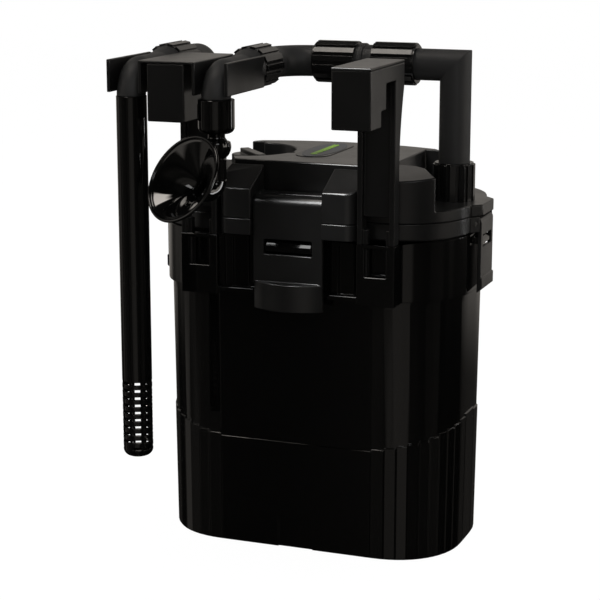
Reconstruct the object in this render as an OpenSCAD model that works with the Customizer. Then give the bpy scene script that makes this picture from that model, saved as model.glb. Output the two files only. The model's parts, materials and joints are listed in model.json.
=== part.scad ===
// Canister filter for an aquarium, with hanging brackets and rigid pipework.
// Millimetres, +Z up. The origin is the centre of the canister's flat underside,
// and the front face, which hangs towards the tank, looks along -Y.

/* [Canister] */
// Width of the canister at its base
can_w = 167.6; // [160:0.2:176]
// Depth of the canister at its base
can_d = 100; // [96:0.2:108]
// Height of the canister's rim
can_h = 176.8; // [170:0.2:190]
// Wall thickness
can_wall = 3; // [2.6:0.1:3.4]
// Thickness of the floor
can_floor = 4; // [3:0.1:6]
// Length of the rounded front corners along X
front_rx = 40; // [34:0.5:42]
// Length of the rounded front corners along Y
front_ry = 41; // [34:0.5:44]
// Length of the rounded rear corners along X
rear_rx = 42; // [34:0.5:42]
// Length of the rounded rear corners along Y
rear_ry = 43; // [34:0.5:44]
// Squareness of the corners, where 2 is an ellipse
corner_power = 2.2; // [2:0.05:2.4]
// Outward draft of each side, from the base to the collar
draft_x = 1.7; // [0.6:0.1:2.4]
// Outward draft of front and rear, from the base to the collar
draft_y = 0.6; // [0.4:0.1:1.4]

/* [Lower band] */
// Height of the band's flat front panel
band_h = 61; // [45:0.5:72]
// Rise of the band from one facet to the next
band_step = 1.3; // [0.4:0.1:1.8]
// Facets on each corner
band_facets = 10; // [6:1:12]
// How far the facets stand proud
band_proud = 0.6; // [0.4:0.05:1]
// Width of the groove between two facets
band_groove = 0.5; // [0.3:0.05:0.8]
// Width of the finger notch under the front edge
notch_w = 20; // [14:0.5:26]
// Height of the finger notch
notch_h = 19; // [12:0.5:24]
// Depth of the finger notch
notch_depth = 1.6; // [1:0.1:2]
// Depth of the groove around the underside
under_depth = 1; // [0.6:0.1:1.6]

/* [Collar] */
// Height of the collar ring
collar_h = 32.4; // [28:0.2:36]
// How far the collar's top edge stands above the canister's rim
collar_over = 0.2; // [0:0.05:0.5]
// How far the collar stands proud of the body
collar_proud = 2; // [1.6:0.1:2.1]
// Inward step of the canister's neck under the collar
neck_step = 0.8; // [0.6:0.05:1]
// Play between neck and collar
neck_play = 0.1; // [0.05:0.01:0.2]
// Height of the trays beside the front latch
tray_h = 2.8; // [2:0.1:4]
// Thickness of the upright ribs in the trays
tray_rib = 1.2; // [0.8:0.1:2]

/* [Head] */
// Height of the joint that the seal fills
seal_gap = 1.2; // [1:0.05:1.6]
// Width of the seal
seal_w = 1.6; // [1.2:0.1:1.8]
// Depth of the seal's groove in the head
seal_groove = 1.4; // [1:0.1:2]
// How far the head's flange stands out from the body
flange_lip = 2.2; // [2.1:0.1:3]
// Thickness of the head's lower plate
base_t = 8.6; // [8.2:0.1:10]
// Thickness of the cover's shelf
shelf_t = 6.4; // [5:0.1:8]
// Height of the cover's raised middle above the shelf
raise_h = 22; // [20:0.2:25]
// Half width of the raised middle between the port pockets
raise_hw = 48; // [46:0.2:50]
// Distance of the raised middle's front edge from the axis
raise_front = 40; // [38:0.2:42]
// Distance of the raised middle's curved rear edge from the axis
raise_rear = 44.5; // [43:0.2:47]
// Radius of that rear edge
raise_arc = 150; // [130:5:200]
// Distance of the port pockets' rear wall from the axis
pocket_rear = 29.5; // [27:0.2:31]
// Distance of the front lobes' rear wall from the axis
lobe_rear = 23; // [21:0.2:26]
// Height of the front lobes' outer edge above the shelf
lobe_h = 16; // [14:0.2:18]
// Slope of the lobes' top in degrees
lobe_slope = 9.5; // [5:0.5:12]
// Depth of the plug that enters the canister
plug_h = 10; // [8:0.2:12]
// Wall of the plug
plug_t = 2.5; // [2:0.1:3]
// Play between plug and canister
plug_play = 0.3; // [0.2:0.05:0.5]

/* [Front box] */
// How far the front box stands out from the flange
box_out = 11.2; // [10.6:0.1:14]
// Half width of the front box
box_hw = 39.2; // [38:0.1:41]
// Radius of its outer corners
box_r = 7; // [4:0.5:9]
// Height of its front edge above the shelf
box_h = 10; // [8.6:0.2:13]

/* [Front latch] */
// Width of the front latch
latch_w = 39.2; // [34:0.2:40]
// Play on each side of the latch
latch_play = 0.4; // [0.3:0.05:0.6]
// Thickness of the latch plate
latch_t = 2.4; // [2:0.1:2.8]
// How far the latch face lies behind the front box
latch_inset = 2.8; // [2.4:0.1:3.4]
// Radius of the latch's hinge barrel
barrel_r = 4.9; // [4.4:0.1:5.2]
// Radius of the front hinge pin
pin_r = 1.6; // [1.2:0.1:2]
// Play of hinge pins in their holes
pin_play = 0.05; // [0.03:0.01:0.1]
// How far the pin enters each ear
pin_grip = 4; // [2.5:0.5:6]
// Height of the hinge axis above the shelf
hinge_up = 1.5; // [1:0.1:2.4]
// Length of the plate below the hinge axis
latch_drop = 41.5; // [38:0.5:46]
// Height of the finger lip
lip_h = 15; // [10:0.5:18]
// How far the finger lip bows out
lip_bow = 6.5; // [4:0.5:8]
// Width of the catch slot
slot_w = 27.2; // [22:0.2:30]
// Height of the catch slot
slot_h = 8; // [7:0.2:9]
// Distance from the hinge axis down to the slot's top
slot_drop = 18.5; // [18:0.1:20]
// Play around the catch tooth in the slot
tooth_play = 1.3; // [1:0.1:1.8]
// Opening angle of every latch in degrees
latch_open = 55; // [40:1:55]

/* [Clip latches] */
// Width of the side and rear latches
clip_w = 24; // [18:0.5:28]
// Thickness of their plates
clip_t = 2.2; // [1.8:0.1:2.4]
// Radius of their hinge barrels
clip_r = 3.2; // [2.9:0.1:3.4]
// Radius of their hinge pins
clip_pin_r = 1.2; // [1:0.1:1.4]
// Distance of the hinge axis outside the flange
clip_out = 1.6; // [1.4:0.1:1.8]
// Distance of the hinge axis below the cover's joint
clip_down = 3.8; // [3.7:0.1:4.2]
// Length of the clip below its hinge axis
clip_drop = 38.3; // [34:0.2:42]
// Height of its finger lip
clip_lip = 8.4; // [6:0.2:10]
// Thickness of the hinge lugs
lug_t = 4; // [3:0.2:5]

/* [Pump head] */
// Position of the motor's axis along X
motor_x = 14; // [10:0.5:18]
// Radius of the magnet rotor
rotor_r = 8.8; // [7.5:0.1:9.4]
// Length of the magnet rotor
rotor_l = 24; // [18:0.5:26]
// Gap around the rotor
rotor_gap = 0.6; // [0.4:0.05:1]
// Wall of the rotor well
well_wall = 1.4; // [1.2:0.1:1.8]
// Radius of the ceramic shaft
shaft_r = 1.5; // [1.2:0.1:2]
// Running play on the shaft
shaft_play = 0.06; // [0.03:0.01:0.1]
// Radius of the impeller
impeller_r = 15; // [12:0.5:16]
// Height of the impeller's blades
blade_h = 7; // [5:0.2:8]
// Number of blades
blade_n = 6; // [4:1:8]
// Thickness of the blades
blade_t = 1.5; // [1:0.1:2]
// Radius of the pump's inlet
eye_r = 6.5; // [5:0.5:8]
// Width of the motor block along X
stator_w = 48; // [44:0.5:50]
// Depth of the motor block along Y
stator_d = 46; // [40:0.5:50]

/* [Flow lever] */
// Position of the lever's axis along X
lever_x = -46.7; // [-48:0.1:-45]
// Position of the lever's axis along Y
lever_y = -2.3; // [-4:0.1:0]
// Radius of the round well
lever_well_r = 27.5; // [26.5:0.1:28]
// Depth of the round well
lever_well_d = 10; // [8:0.2:12]
// Length of the lever from its axis
lever_l = 25; // [20:0.2:25.5]
// Width of the grip bar
lever_w = 5.3; // [4:0.1:6.5]
// Radius of the lever's hub
lever_hub_r = 9; // [7:0.2:11]
// Direction of the lever at rest, in degrees from +X
lever_angle = -49; // [-60:1:-40]
// Turning range of the lever in degrees
lever_turn = 90; // [60:1:90]
// Radius of the lever's stem
stem_r = 3; // [2.5:0.1:4]
// Running play of the stem
stem_play = 0.08; // [0.04:0.01:0.1]
// Thickness of the shutter that closes the inlet
shutter_t = 2.4; // [2:0.1:2.8]

/* [Label pad] */
// Length of the bare oval pad
pad_l = 56; // [40:1:58]
// Width of the bare oval pad
pad_w = 19.5; // [14:0.5:22]
// Thickness of the pad
pad_t = 1.2; // [0.8:0.1:2]
// How far the pad stands out of its recess
pad_proud = 0.3; // [0.1:0.05:0.5]

/* [Pipes] */
// Distance of each port's axis inside the flange's edge
port_in = 14.5; // [14:0.1:16]
// Height of the pipes' axis above the cover
pipe_rise = 50.4; // [46:0.2:56]
// Outer radius of the large pipes
pipe_r = 8.5; // [8:0.05:9]
// Wall of the large pipes
pipe_wall = 2; // [1.6:0.1:2.4]
// Outer radius of the front elbows
elbow_r = 7.6; // [7:0.05:7.8]
// Wall of the front elbows
elbow_wall = 1.6; // [1.2:0.1:2]
// Bend radius of the front elbows and of the intake's rear elbow
elbow_bend = 12; // [10:0.5:14]
// Bend radius of the outlet's long bend
outlet_bend_r = 18; // [14:0.5:20]
// Position of the outlet's run along X
outlet_x = -25.5; // [-27:0.1:-24.5]
// Distance of the drop pipes in front of the front box
drop_out = 31; // [28:0.5:34]
// Gap between two fixed pieces that plug together
fit = 0.05; // [0.03:0.01:0.1]
// Length of the spigots that enter a tube
spigot_l = 11; // [8:0.5:14]

/* [Nuts] */
// Length of a union nut
nut_l = 24; // [22:0.5:26]
// Length of the nuts on the head
head_nut_l = 20.5; // [19:0.5:22]
// Outer radius over the ribs
nut_r = 11.4; // [11.2:0.1:12]
// Depth of the grooves between the ribs
nut_groove = 0.9; // [0.6:0.1:1.1]
// Number of ribs on a nut
nut_ribs = 14; // [10:1:16]
// Radius of the bore that holds the threads
nut_bore = 9.7; // [9.6:0.05:9.9]
// Length of the collared end of a nut
nut_lip = 6; // [4:0.5:8]
// Thickness of a pipe's end flange inside its nut
end_flange = 2; // [1.4:0.1:3]
// Thickness of the pipe seals
pipe_seal = 1.6; // [1:0.1:2]
// Position of the union's middle flange along X
union_x = 23.1; // [22:0.1:24.5]
// Width of the union's middle flange
union_flange = 3; // [2:0.1:3.6]
// Distance from the union's middle to either nut
union_gap = 4.9; // [4.4:0.1:6]
// Distance of the front nuts' rear end from the riser's axis
run_nut_back = 28; // [26:0.5:30]
// Length of the cone behind each front nut
cone_l = 10; // [6:0.5:12]

/* [Intake] */
// Radius of the intake tube
tube_r = 8; // [7.9:0.05:8.4]
// Wall of the intake tube
tube_wall = 1.5; // [1.2:0.1:1.8]
// Distance from the intake's elbow down to the seam of the tubes
tube_l = 97.6; // [70:0.5:120]
// Length of the strainer tube
strainer_l = 96; // [70:0.5:110]
// Radius of the strainer's closed end
strainer_round = 4; // [2:0.5:6]
// Rows of slots
slot_rows = 10; // [5:1:12]
// Pitch of the rows
slot_pitch = 4; // [3.6:0.1:4.6]
// Height of a slot
strainer_slot_h = 1.6; // [1.2:0.1:2.6]
// Width of a slot
strainer_slot_w = 4.6; // [2.6:0.1:4.8]
// Height of the lowest slot above the closed end
slot_start = 4.2; // [3.5:0.1:12]

/* [Nozzle] */
// Radius of the swivel sleeve
sleeve_r = 9.4; // [8.8:0.1:9.6]
// Length of the swivel sleeve
sleeve_l = 17.4; // [14:0.2:20]
// Distance of the ball's centre below the sleeve
ball_drop = 6.8; // [6.6:0.1:8]
// Radius of the ball
ball_r = 6.3; // [6:0.05:6.5]
// Play of the ball in its socket
ball_play = 0.08; // [0.04:0.01:0.1]
// Wall of the ball's socket
socket_wall = 1.1; // [0.9:0.05:1.4]
// Height of the socket's rim above the ball's centre
socket_rim = 2.6; // [2:0.1:2.8]
// Radius of the ball's stalk
stalk_r = 4.4; // [4:0.1:4.5]
// Radius of the water's way through the ball
ball_bore = 3.2; // [2.6:0.1:3.3]
// Outer radius of the trumpet's neck
neck_r = 4.9; // [4.4:0.1:5.2]
// Wall of the trumpet
trumpet_wall = 1.3; // [1:0.1:1.5]
// Bend radius of the neck
neck_bend = 6; // [5.5:0.1:7]
// Straight length of the neck under the ball
neck_drop = 9.5; // [8:0.1:12]
// Length of the flare
flare_l = 16; // [14:0.2:20]
// Radius of the trumpet's mouth
mouth_r = 23.65; // [19:0.05:24]
// Upward angle of the mouth in degrees
mouth_up = 30; // [28:1:32]
// Direction of the mouth in degrees from +X
mouth_dir = -116; // [-125:1:-105]
// Swivel towards the intake tube in degrees
swivel_in = 55; // [30:1:55]
// Swivel away from the intake tube in degrees
swivel_out = 110; // [60:1:120]
// Downward tilt of the trumpet in degrees
tilt_down = 16; // [10:1:18]

/* [Hangers] */
// Gap between a hanger and the front box's side
hanger_gap = 0.35; // [0.3:0.05:1.5]
// Width of a hanger
hanger_w = 20.6; // [19.6:0.1:20.6]
// Height of a hanger above the collar
hanger_h = 95.4; // [90:0.2:104]
// Thickness of the side flanges
hanger_flange = 3; // [2.4:0.1:3.4]
// Depth of the upright at its foot
upright_d = 7.8; // [7:0.1:8.4]
// Depth of the upright under the hook
upright_top_d = 14.5; // [12:0.1:16]
// Depth of the recess between the flanges
web_in = 3; // [2:0.1:3.4]
// Thickness of the web
web_t = 2.4; // [2:0.1:3]
// Height of the window under the web
window_h = 14.5; // [10:0.5:20]
// Width of the narrow slot for the tank's glass
glass_narrow = 15.3; // [10:0.1:16]
// Width of the wide slot below it
glass_wide = 22.9; // [18:0.1:24]
// Height of the narrow slot
narrow_h = 13; // [10:0.2:15]
// Height of the wide slot
wide_h = 8.1; // [6:0.1:10]
// Depth of the hook, from the upright's face to its front
hook_reach = 39.7; // [36:0.1:42]
// Thickness over the narrow slot
hook_top = 8.4; // [6:0.1:10]
// Thickness of the cap plates
cap_t = 1.4; // [1.2:0.1:2]
// Wall of the hollow hook
hook_wall = 2.4; // [2:0.1:3]
// Length of the feet that enter the collar
foot_l = 24; // [16:0.5:26]
// Thickness of the feet
foot_t = 2.4; // [2:0.1:2.8]
// Height of the collar's window
collar_window = 15; // [10:0.5:16]
// Width of the collar's window
collar_window_w = 12; // [9:0.2:12.4]

/* [Pipe holder] */
// Thickness of the channels' walls
holder_t = 1.8; // [1.4:0.1:2]
// Play on each side of a pipe in its channel
holder_play = 0.4; // [0.2:0.05:0.5]
// Distance of the channels' floor from the front
holder_floor_in = 20; // [17:0.5:24]

/* [Filter media] */
// Play between the baskets and the canister
basket_play = 1.2; // [0.8:0.1:2]
// Wall of the baskets
basket_wall = 1.6; // [1.2:0.1:2]
// Height of each basket
basket_h = 62; // [50:1:66]
// Height of the lower basket above the floor
basket_up = 14; // [8:1:20]
// Gap between the two baskets
basket_gap = 2; // [1:0.5:4]
// Width of the slots in the baskets' floors
grid_slot = 4; // [3:0.5:6]
// Pitch of those slots
grid_pitch = 8; // [7:0.5:12]
// Outer radius of the drop tube
drop_r = 6.6; // [6.4:0.1:7]
// Height of the drop tube's mouth above the floor
drop_clear = 6; // [4:0.5:10]
// Thickness of the coarse sponge
coarse_t = 30; // [20:1:34]
// Thickness of the fine floss
floss_t = 14; // [8:1:20]
// Thickness of the fine sponge
fine_t = 26; // [16:1:30]
// Radius of a ceramic ring
ring_r = 6; // [5:0.5:7]
// Length of a ceramic ring
ring_l = 14; // [10:1:18]

/* [Fasteners] */
// Radius of the cover screws' shanks
screw_r = 1.5; // [1.2:0.1:1.8]
// Radius of their heads
screw_head_r = 3; // [2.6:0.1:3.4]
// Depth of a screw in the cover
screw_grip = 9; // [6:0.5:12]
// Radius of the cord gland
gland_r = 5.4; // [5:0.1:6]
// Radius of the gland's empty bore
gland_bore = 3.1; // [2.5:0.1:3.6]
// How far the gland stands out at the back
gland_out = 6; // [4:0.5:7]

/* [Hidden] */

// Every piece of the filter
$fn = 64;
corner_steps = 14;
edge_fn = 32;
over = 1;

// Half sizes of the body at its base and under the collar
base_hw = can_w / 2;
base_hd = can_d / 2;
body_hw = base_hw + draft_x;
body_hd = base_hd + draft_y;

// Levels, from the canister's rim to the top of the cover
collar_top = can_h + collar_over;
collar_z = collar_top - collar_h;
flange_z = can_h + seal_gap;
cover_z = flange_z + base_t;
shelf_z = cover_z + shelf_t;
top_z = shelf_z + raise_h;
plug_z = flange_z - plug_h;

// Half sizes of the head's flange, and the planes around it
flange_hw = body_hw + flange_lip;
flange_hd = body_hd + flange_lip;
box_y = -(flange_hd + box_out);
latch_y = box_y + latch_inset;
hinge_y = latch_y + barrel_r;
hinge_z = shelf_z + hinge_up;
box_top = shelf_z + box_h;
hanger_x = box_hw + hanger_gap + hanger_w / 2;

// Pipework
port_x = flange_hw - port_in;
pipe_z = top_z + pipe_rise;
drop_y = box_y - drop_out;
elbow_z = pipe_z - elbow_bend;
pipe_bore = pipe_r - pipe_wall;
elbow_bore = elbow_r - elbow_wall;
tube_bore = tube_r - tube_wall;
seam_z = elbow_z - tube_l;
strainer_z = seam_z - strainer_l;
nut_hole = pipe_r + fit;
thread_r = nut_bore - fit;
flange_r = nut_bore - 4 * fit;
sleeve_z = elbow_z - sleeve_l;
ball_z = sleeve_z - ball_drop;
cone_r = nut_r - 1;

// Hangers
hanger_top = collar_top + hanger_h;
slot_top = hanger_top - cap_t - hook_top;
hook_z = slot_top - narrow_h - wide_h;

// Pump
well_r = rotor_r + rotor_gap;
volute_r = impeller_r + 2;
impeller_z = plug_z + 1;

// Canister's inside
cavity_hw = base_hw - can_wall;
cavity_hd = base_hd - can_wall;
neck_in = can_wall - neck_step - 0.2;
lower_basket_z = can_floor + basket_up;
upper_basket_z = lower_basket_z + basket_h + basket_gap;

// Small details of the canister and the collar
band_foot = 0.8;
panel_proud = 0.3;
notch_r = 3;
under_rim = 9;
under_band = 7;
window_edge = 2;
socket_hw = hanger_w / 2 + 0.2;
tooth_inset = 0.6;
tooth_h = slot_h - 2 * tooth_play;
tooth_z = hinge_z - slot_drop - slot_h + tooth_play;
clip_tooth_h = 4;
clip_tooth_z = collar_top - 6.4;
clip_edge = 3.4;
clip_z = cover_z - clip_down;

// Small details of the head and its latches
boss_cover = 0.4;
boss_gap = 0.5;
clip_side = 0.8;
clip_grip = 2;
seal_in = 1;
pocket_side = 9;
port_r = 9;
volute_z = plug_z - 1.6;
duct_w = 13;
duct_z = volute_z + 2;
rotor_z = flange_z + 0.6;
bush_h = 2.2;
well_top = rotor_z + rotor_l + bush_h + 0.8;
port_foot = plug_z - 4;
shutter_z = flange_z - shutter_t - 4.6;
shutter_gap = 0.4;
shutter_r = pipe_bore + 0.9;
port_top = shelf_z + head_nut_l - nut_lip - end_flange - pipe_seal - fit;
screw_in = 24;
screw_x = port_x - screw_in;
screw_y = pocket_rear + 3.5;
screw_mid_x = motor_x - volute_r - 12;
screw_mid_y = raise_front - 2.4;
screw_head_h = 2.2;
screw_room = 0.2;
stator_play = 0.5;
stator_h = raise_h + shelf_t - 4;
stem_seal_r = stem_r + 1.6;
stem_seal_h = 2.2;
rim_cut_r = 2.6;
pad_x = -3.8;
pad_y = 7;
gland_x = motor_x + 6;
gland_z = shelf_z + raise_h / 2 - 2;
gland_wall = 2;

// Small details of the pump, the lever and the pipes
cover_plate = 3;
bush_r = shaft_r + 1.8;
blade_gap = 0.6;
lever_float = 0.3;
stem_grip = 4;
rib_w = 3.2;
union_flange_off = 1.9;
pipe_foot = port_top + pipe_seal;
neck_low = ball_r + ball_play + socket_wall + neck_drop;
flare_steps = 9;
bend_steps = 8;
trumpet_sides = 36;
lip_out = 0.3;

// Small details of the hangers and the baskets
sweep_rise = 38;
lobe_end = 15;
lobe_nose = 9;
lobe_back = 4;
sweep_low = collar_top + sweep_rise;
sweep_high = hanger_top - 14;
foot_in = 1.8;
foot_d = upright_d - foot_in - 1.6;
foot_up = 8;
cap_rim_h = 1.6;
holder_back = 10.5;
media_play = 0.4;
ring_shift = 8;

// Points of one rounded corner, from its Y end to its X end
function quarter(cx, cy, rx, ry) = [
    for (i = [0:corner_steps])
        let (a = 90 * i / corner_steps)
        [cx + rx * pow(sin(a), 2 / corner_power),
         cy + ry * pow(cos(a), 2 / corner_power)]
];

// Right half of the plan, from the front to the rear, grown outward by g
function half_plan(hw, hd, g) = concat(
    [for (p = quarter(hw - front_rx, hd - front_ry, front_rx + g, front_ry + g)) [p[0], -p[1]]],
    let (q = quarter(hw - rear_rx, hd - rear_ry, rear_rx + g, rear_ry + g))
    [for (i = [corner_steps:-1:0]) q[i]]
);

// The whole plan outline
function full_plan(hw, hd, g) =
    let (h = half_plan(hw, hd, g))
    concat(h, [for (i = [len(h) - 1:-1:0]) [-h[i][0], h[i][1]]]);

// Plan of the body under the collar, grown outward by g
module body_plan(g) {
    polygon(full_plan(body_hw, body_hd, g));
}

// A rounded rectangle centred on the origin
module rounded_plan(w, d, r) {
    offset(r = r, $fn = edge_fn) square([w - 2 * r, d - 2 * r], center = true);
}

module ring(outer, inner, h) {
    difference() {
        cylinder(r = outer, h = h);
        translate([0, 0, -over]) cylinder(r = inner, h = h + 2 * over);
    }
}

// Places something on the left, right and rear edges of the head's flange.
// There the local X axis points outward, with its zero on the flange's edge.
module on_clip_sides() {
    for (side = [0:2])
        rotate([0, 0, 90 * side]) translate([side == 1 ? flange_hd : flange_hw, 0, 0]) children();
}

// One flat facet of the band from p to q, leaning with the draft
module band_facet(p, q, h) {
    span = norm(q - p);
    dir = (q - p) / span;
    mid = (p + q) / 2;
    growth = mid[0] * draft_x / base_hw * dir[1] - mid[1] * draft_y / base_hd * dir[0];
    translate([p[0], p[1], 0]) rotate([0, 0, atan2(dir[1], dir[0])])
        rotate([atan(growth / collar_z), 0, 0])
            translate([band_groove / 2, -band_proud, band_foot])
                cube([span - band_groove, band_proud + can_wall / 2, h - band_foot]);
}

module band_side() {
    n = band_facets;
    front = [for (i = [0:n]) let (a = 90 * i / n)
        [base_hw - front_rx + front_rx * pow(sin(a), 2 / corner_power),
         front_ry - base_hd - front_ry * pow(cos(a), 2 / corner_power)]];
    rear = [for (i = [0:n]) let (a = 90 * i / n)
        [base_hw - rear_rx + rear_rx * pow(cos(a), 2 / corner_power),
         base_hd - rear_ry + rear_ry * pow(sin(a), 2 / corner_power)]];
    for (i = [0:n - 1]) {
        band_facet(front[i], front[i + 1], band_h + band_step * (i + 1));
        band_facet(rear[i], rear[i + 1], band_h + band_step * (n - i));
    }
    band_facet(front[n], rear[0], band_h + band_step * (n + 1));
}

module canister() color("#141416") {
    lean = [body_hw / base_hw, body_hd / base_hd];
    difference() {
        union() {
            linear_extrude(collar_z, scale = lean, slices = 1, segments = 0)
                polygon(full_plan(base_hw, base_hd, 0));
            translate([0, 0, collar_z - over])
                linear_extrude(can_h - collar_z + over) body_plan(-neck_step);
            band_side();
            mirror([1, 0, 0]) band_side();
            band_facet([front_rx - base_hw, -base_hd], [base_hw - front_rx, -base_hd], band_h);
            band_facet([base_hw - rear_rx, base_hd], [rear_rx - base_hw, base_hd], band_h);
            front_panel();
        }
        translate([0, 0, can_floor])
            linear_extrude(collar_z - can_floor, scale = lean, slices = 1, segments = 0)
                polygon(full_plan(base_hw, base_hd, -can_wall));
        translate([0, 0, collar_z - over])
            linear_extrude(can_h - collar_z + 2 * over) body_plan(-neck_step - neck_in);
        finger_notch();
        translate([0, 0, -over]) linear_extrude(under_depth + over) difference() {
            polygon(full_plan(base_hw, base_hd, -under_rim));
            polygon(full_plan(base_hw, base_hd, -under_rim - under_band));
        }
    }
}

// The flat panel over the band, just proud of the front
module front_panel() {
    translate([0, -base_hd, 0]) rotate([atan(draft_y / collar_z), 0, 0])
        translate([front_rx - base_hw, -panel_proud, band_h - over])
            cube([2 * (base_hw - front_rx), panel_proud + can_wall / 2, collar_z - band_h]);
}

module finger_notch() {
    translate([0, notch_depth - base_hd - band_proud, notch_h / 2 - notch_r])
        rotate([90, 0, 0]) linear_extrude(notch_depth + over)
            rounded_plan(notch_w, notch_h + 2 * notch_r, notch_r);
}

// Profile of the front latch's catch tooth, in Y and Z
module tooth_profile() {
    back = -body_hd;
    front = latch_y + tooth_inset;
    polygon([[back, tooth_z], [front, tooth_z], [front, tooth_z + tooth_h / 2],
             [front + tooth_h / 3, tooth_z + tooth_h], [back, tooth_z + tooth_h]]);
}

module along_x(w) {
    rotate([90, 0, 90]) translate([0, 0, -w / 2]) linear_extrude(w) children();
}

module collar() color("#161618") {
    difference() {
        union() {
            translate([0, 0, collar_z]) linear_extrude(collar_h) body_plan(collar_proud);
            for (s = [-1, 1]) {
                translate([s * hanger_x - socket_hw, box_y, collar_z])
                    cube([2 * socket_hw, -box_y - body_hd + over, collar_h]);
                collar_tray(s);
            }
            along_x(slot_w - tooth_play) tooth_profile();
            on_clip_sides() clip_tooth();
        }
        translate([0, 0, collar_z - over]) linear_extrude(collar_h + 2 * over)
            body_plan(neck_play - neck_step);
        for (s = [-1, 1]) translate([s * hanger_x, 0, 0]) {
            hanger_feet(2 * fit, over);
            translate([-collar_window_w / 2, box_y - over, collar_top - window_edge - collar_window])
                cube([collar_window_w, upright_d + over, collar_window]);
        }
    }
}

// The tray between the front latch and one hanger's socket
module collar_tray(s) {
    inner = latch_w / 2 + latch_play + tray_rib;
    wide = hanger_x - socket_hw - inner;
    x0 = s > 0 ? inner : -inner - wide;
    deep = (-body_hd - box_y) / 2;
    translate([x0, -body_hd - deep, collar_z]) cube([wide, deep, tray_h]);
    for (k = [1, 3])
        translate([x0 + k * wide / 4 - tray_rib / 2, -body_hd - deep / 2, collar_z])
            cube([tray_rib, deep / 2, collar_h - tray_rib]);
}

module clip_tooth() {
    inner = collar_proud - flange_lip - over;
    front = clip_out + clip_r - tooth_inset;
    translate([0, 0, clip_tooth_z]) rotate([90, 0, 0])
        linear_extrude(clip_w - 2 * clip_edge - tooth_play, center = true)
            polygon([[inner, 0], [front, 0], [front, clip_tooth_h / 2],
                     [front - clip_tooth_h / 3, clip_tooth_h], [inner, clip_tooth_h]]);
}

// Plan of a clip latch's boss, in the clip's own frame
module clip_boss_plan() {
    far = clip_w / 2 + clip_side + lug_t;
    near = clip_w / 2 - clip_side;
    tip = clip_out + clip_r + boss_cover;
    polygon([[-lug_t, -far], [0, -far], [tip, -near], [tip, near], [0, far], [-lug_t, far]]);
}

// Lower part of the front box, with its rounded outer corners
module front_box_plan() {
    difference() {
        translate([-box_hw, box_y]) square([2 * box_hw, -box_y - body_hd + box_r]);
        for (s = [-1, 1]) translate([s * box_hw, box_y]) difference() {
            square(2 * box_r, center = true);
            translate([-s * box_r, box_r]) circle(box_r);
            translate([-s * 2 * box_r, 0]) square([2 * box_r, 4 * box_r], center = true);
            translate([0, 2 * box_r]) square([4 * box_r, 2 * box_r], center = true);
        }
    }
}

module latch_channel(depth) {
    wide = latch_w + 2 * latch_play;
    translate([-wide / 2, box_y - over, 0]) square([wide, depth + over]);
}

module at_screws(z) {
    for (x = [-1, 1]) for (y = [-1, 1]) translate([x * screw_x, y * screw_y, z]) children();
    for (y = [-1, 1]) translate([screw_mid_x, y * screw_mid_y, z]) children();
}

module head_base() color("#2a2b2d") {
    difference() {
        union() {
            translate([0, 0, flange_z]) linear_extrude(base_t) {
                body_plan(flange_lip);
                difference() {
                    front_box_plan();
                    latch_channel(-box_y - flange_hd);
                }
            }
            on_clip_sides() translate([0, 0, flange_z]) linear_extrude(base_t) clip_boss_plan();
            translate([0, 0, plug_z]) linear_extrude(plug_h + over) difference() {
                body_plan(-can_wall + 0.2 - plug_play);
                body_plan(-can_wall + 0.2 - plug_play - plug_t);
            }
            translate([motor_x, 0, volute_z]) cylinder(r = volute_r + plug_t, h = flange_z - volute_z + over);
            translate([motor_x, 0, cover_z - over])
                cylinder(r = well_r + well_wall, h = well_top + well_wall - cover_z + over);
            outlet_duct_outside();
            translate([port_x, 0, volute_z]) cylinder(r = port_r, h = cover_z - volute_z);
            translate([-port_x, 0, port_foot]) cylinder(r = drop_r + plug_t, h = cover_z - port_foot);
            for (s = [-1, 1]) translate([s * port_x, 0, cover_z - over])
                cylinder(r = thread_r, h = port_top - cover_z + over);
        }
        translate([0, 0, flange_z - over]) linear_extrude(seal_groove + over) difference() {
            body_plan(fit - seal_in);
            body_plan(-fit - seal_in - seal_w);
        }
        on_clip_sides() {
            translate([clip_out - clip_r - boss_gap, -clip_w / 2 - latch_play, flange_z - over])
                cube([2 * clip_w, clip_w + 2 * latch_play, base_t + 2 * over]);
            clip_pin_hole();
        }
        translate([motor_x, 0, volute_z - over]) cylinder(r = volute_r, h = flange_z - volute_z + over);
        translate([motor_x, 0, volute_z]) cylinder(r = well_r, h = well_top - volute_z);
        outlet_duct_inside();
        translate([port_x, 0, duct_z]) cylinder(r = pipe_bore, h = port_top - duct_z + over);
        translate([-port_x, 0, port_foot - over])
            cylinder(r = pipe_bore, h = port_top - port_foot + 2 * over);
        translate([-port_x, 0, port_foot - over])
            cylinder(r = drop_r + fit, h = shutter_z - port_foot + over);
        shutter_way();
        translate([lever_x, lever_y, flange_z - over])
            cylinder(r = stem_r + stem_play, h = base_t + 2 * over);
        at_screws(flange_z - over) {
            cylinder(r = screw_r + fit, h = base_t + 2 * over);
            cylinder(r = screw_head_r + screw_room, h = screw_head_h + over);
        }
    }
}

module outlet_duct_outside() {
    x0 = motor_x + volute_r;
    translate([x0, -duct_w / 2 - plug_t, volute_z])
        cube([port_x - x0, duct_w + 2 * plug_t, flange_z - volute_z + over]);
}

module outlet_duct_inside() {
    x0 = motor_x + volute_r - 2 * plug_t;
    translate([x0, -duct_w / 2, duct_z]) cube([port_x - x0, duct_w, flange_z - duct_z - over]);
}

// Room in the inlet's foot for the shutter's sweep
module shutter_way() {
    high = shutter_t + 2 * shutter_gap;
    translate([-port_x, 0, shutter_z - shutter_gap]) linear_extrude(high) {
        circle(shutter_r + shutter_gap);
        rotate(-30) translate([-2 * shutter_r, 0]) square([5 * shutter_r, 2 * shutter_r]);
    }
}

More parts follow.
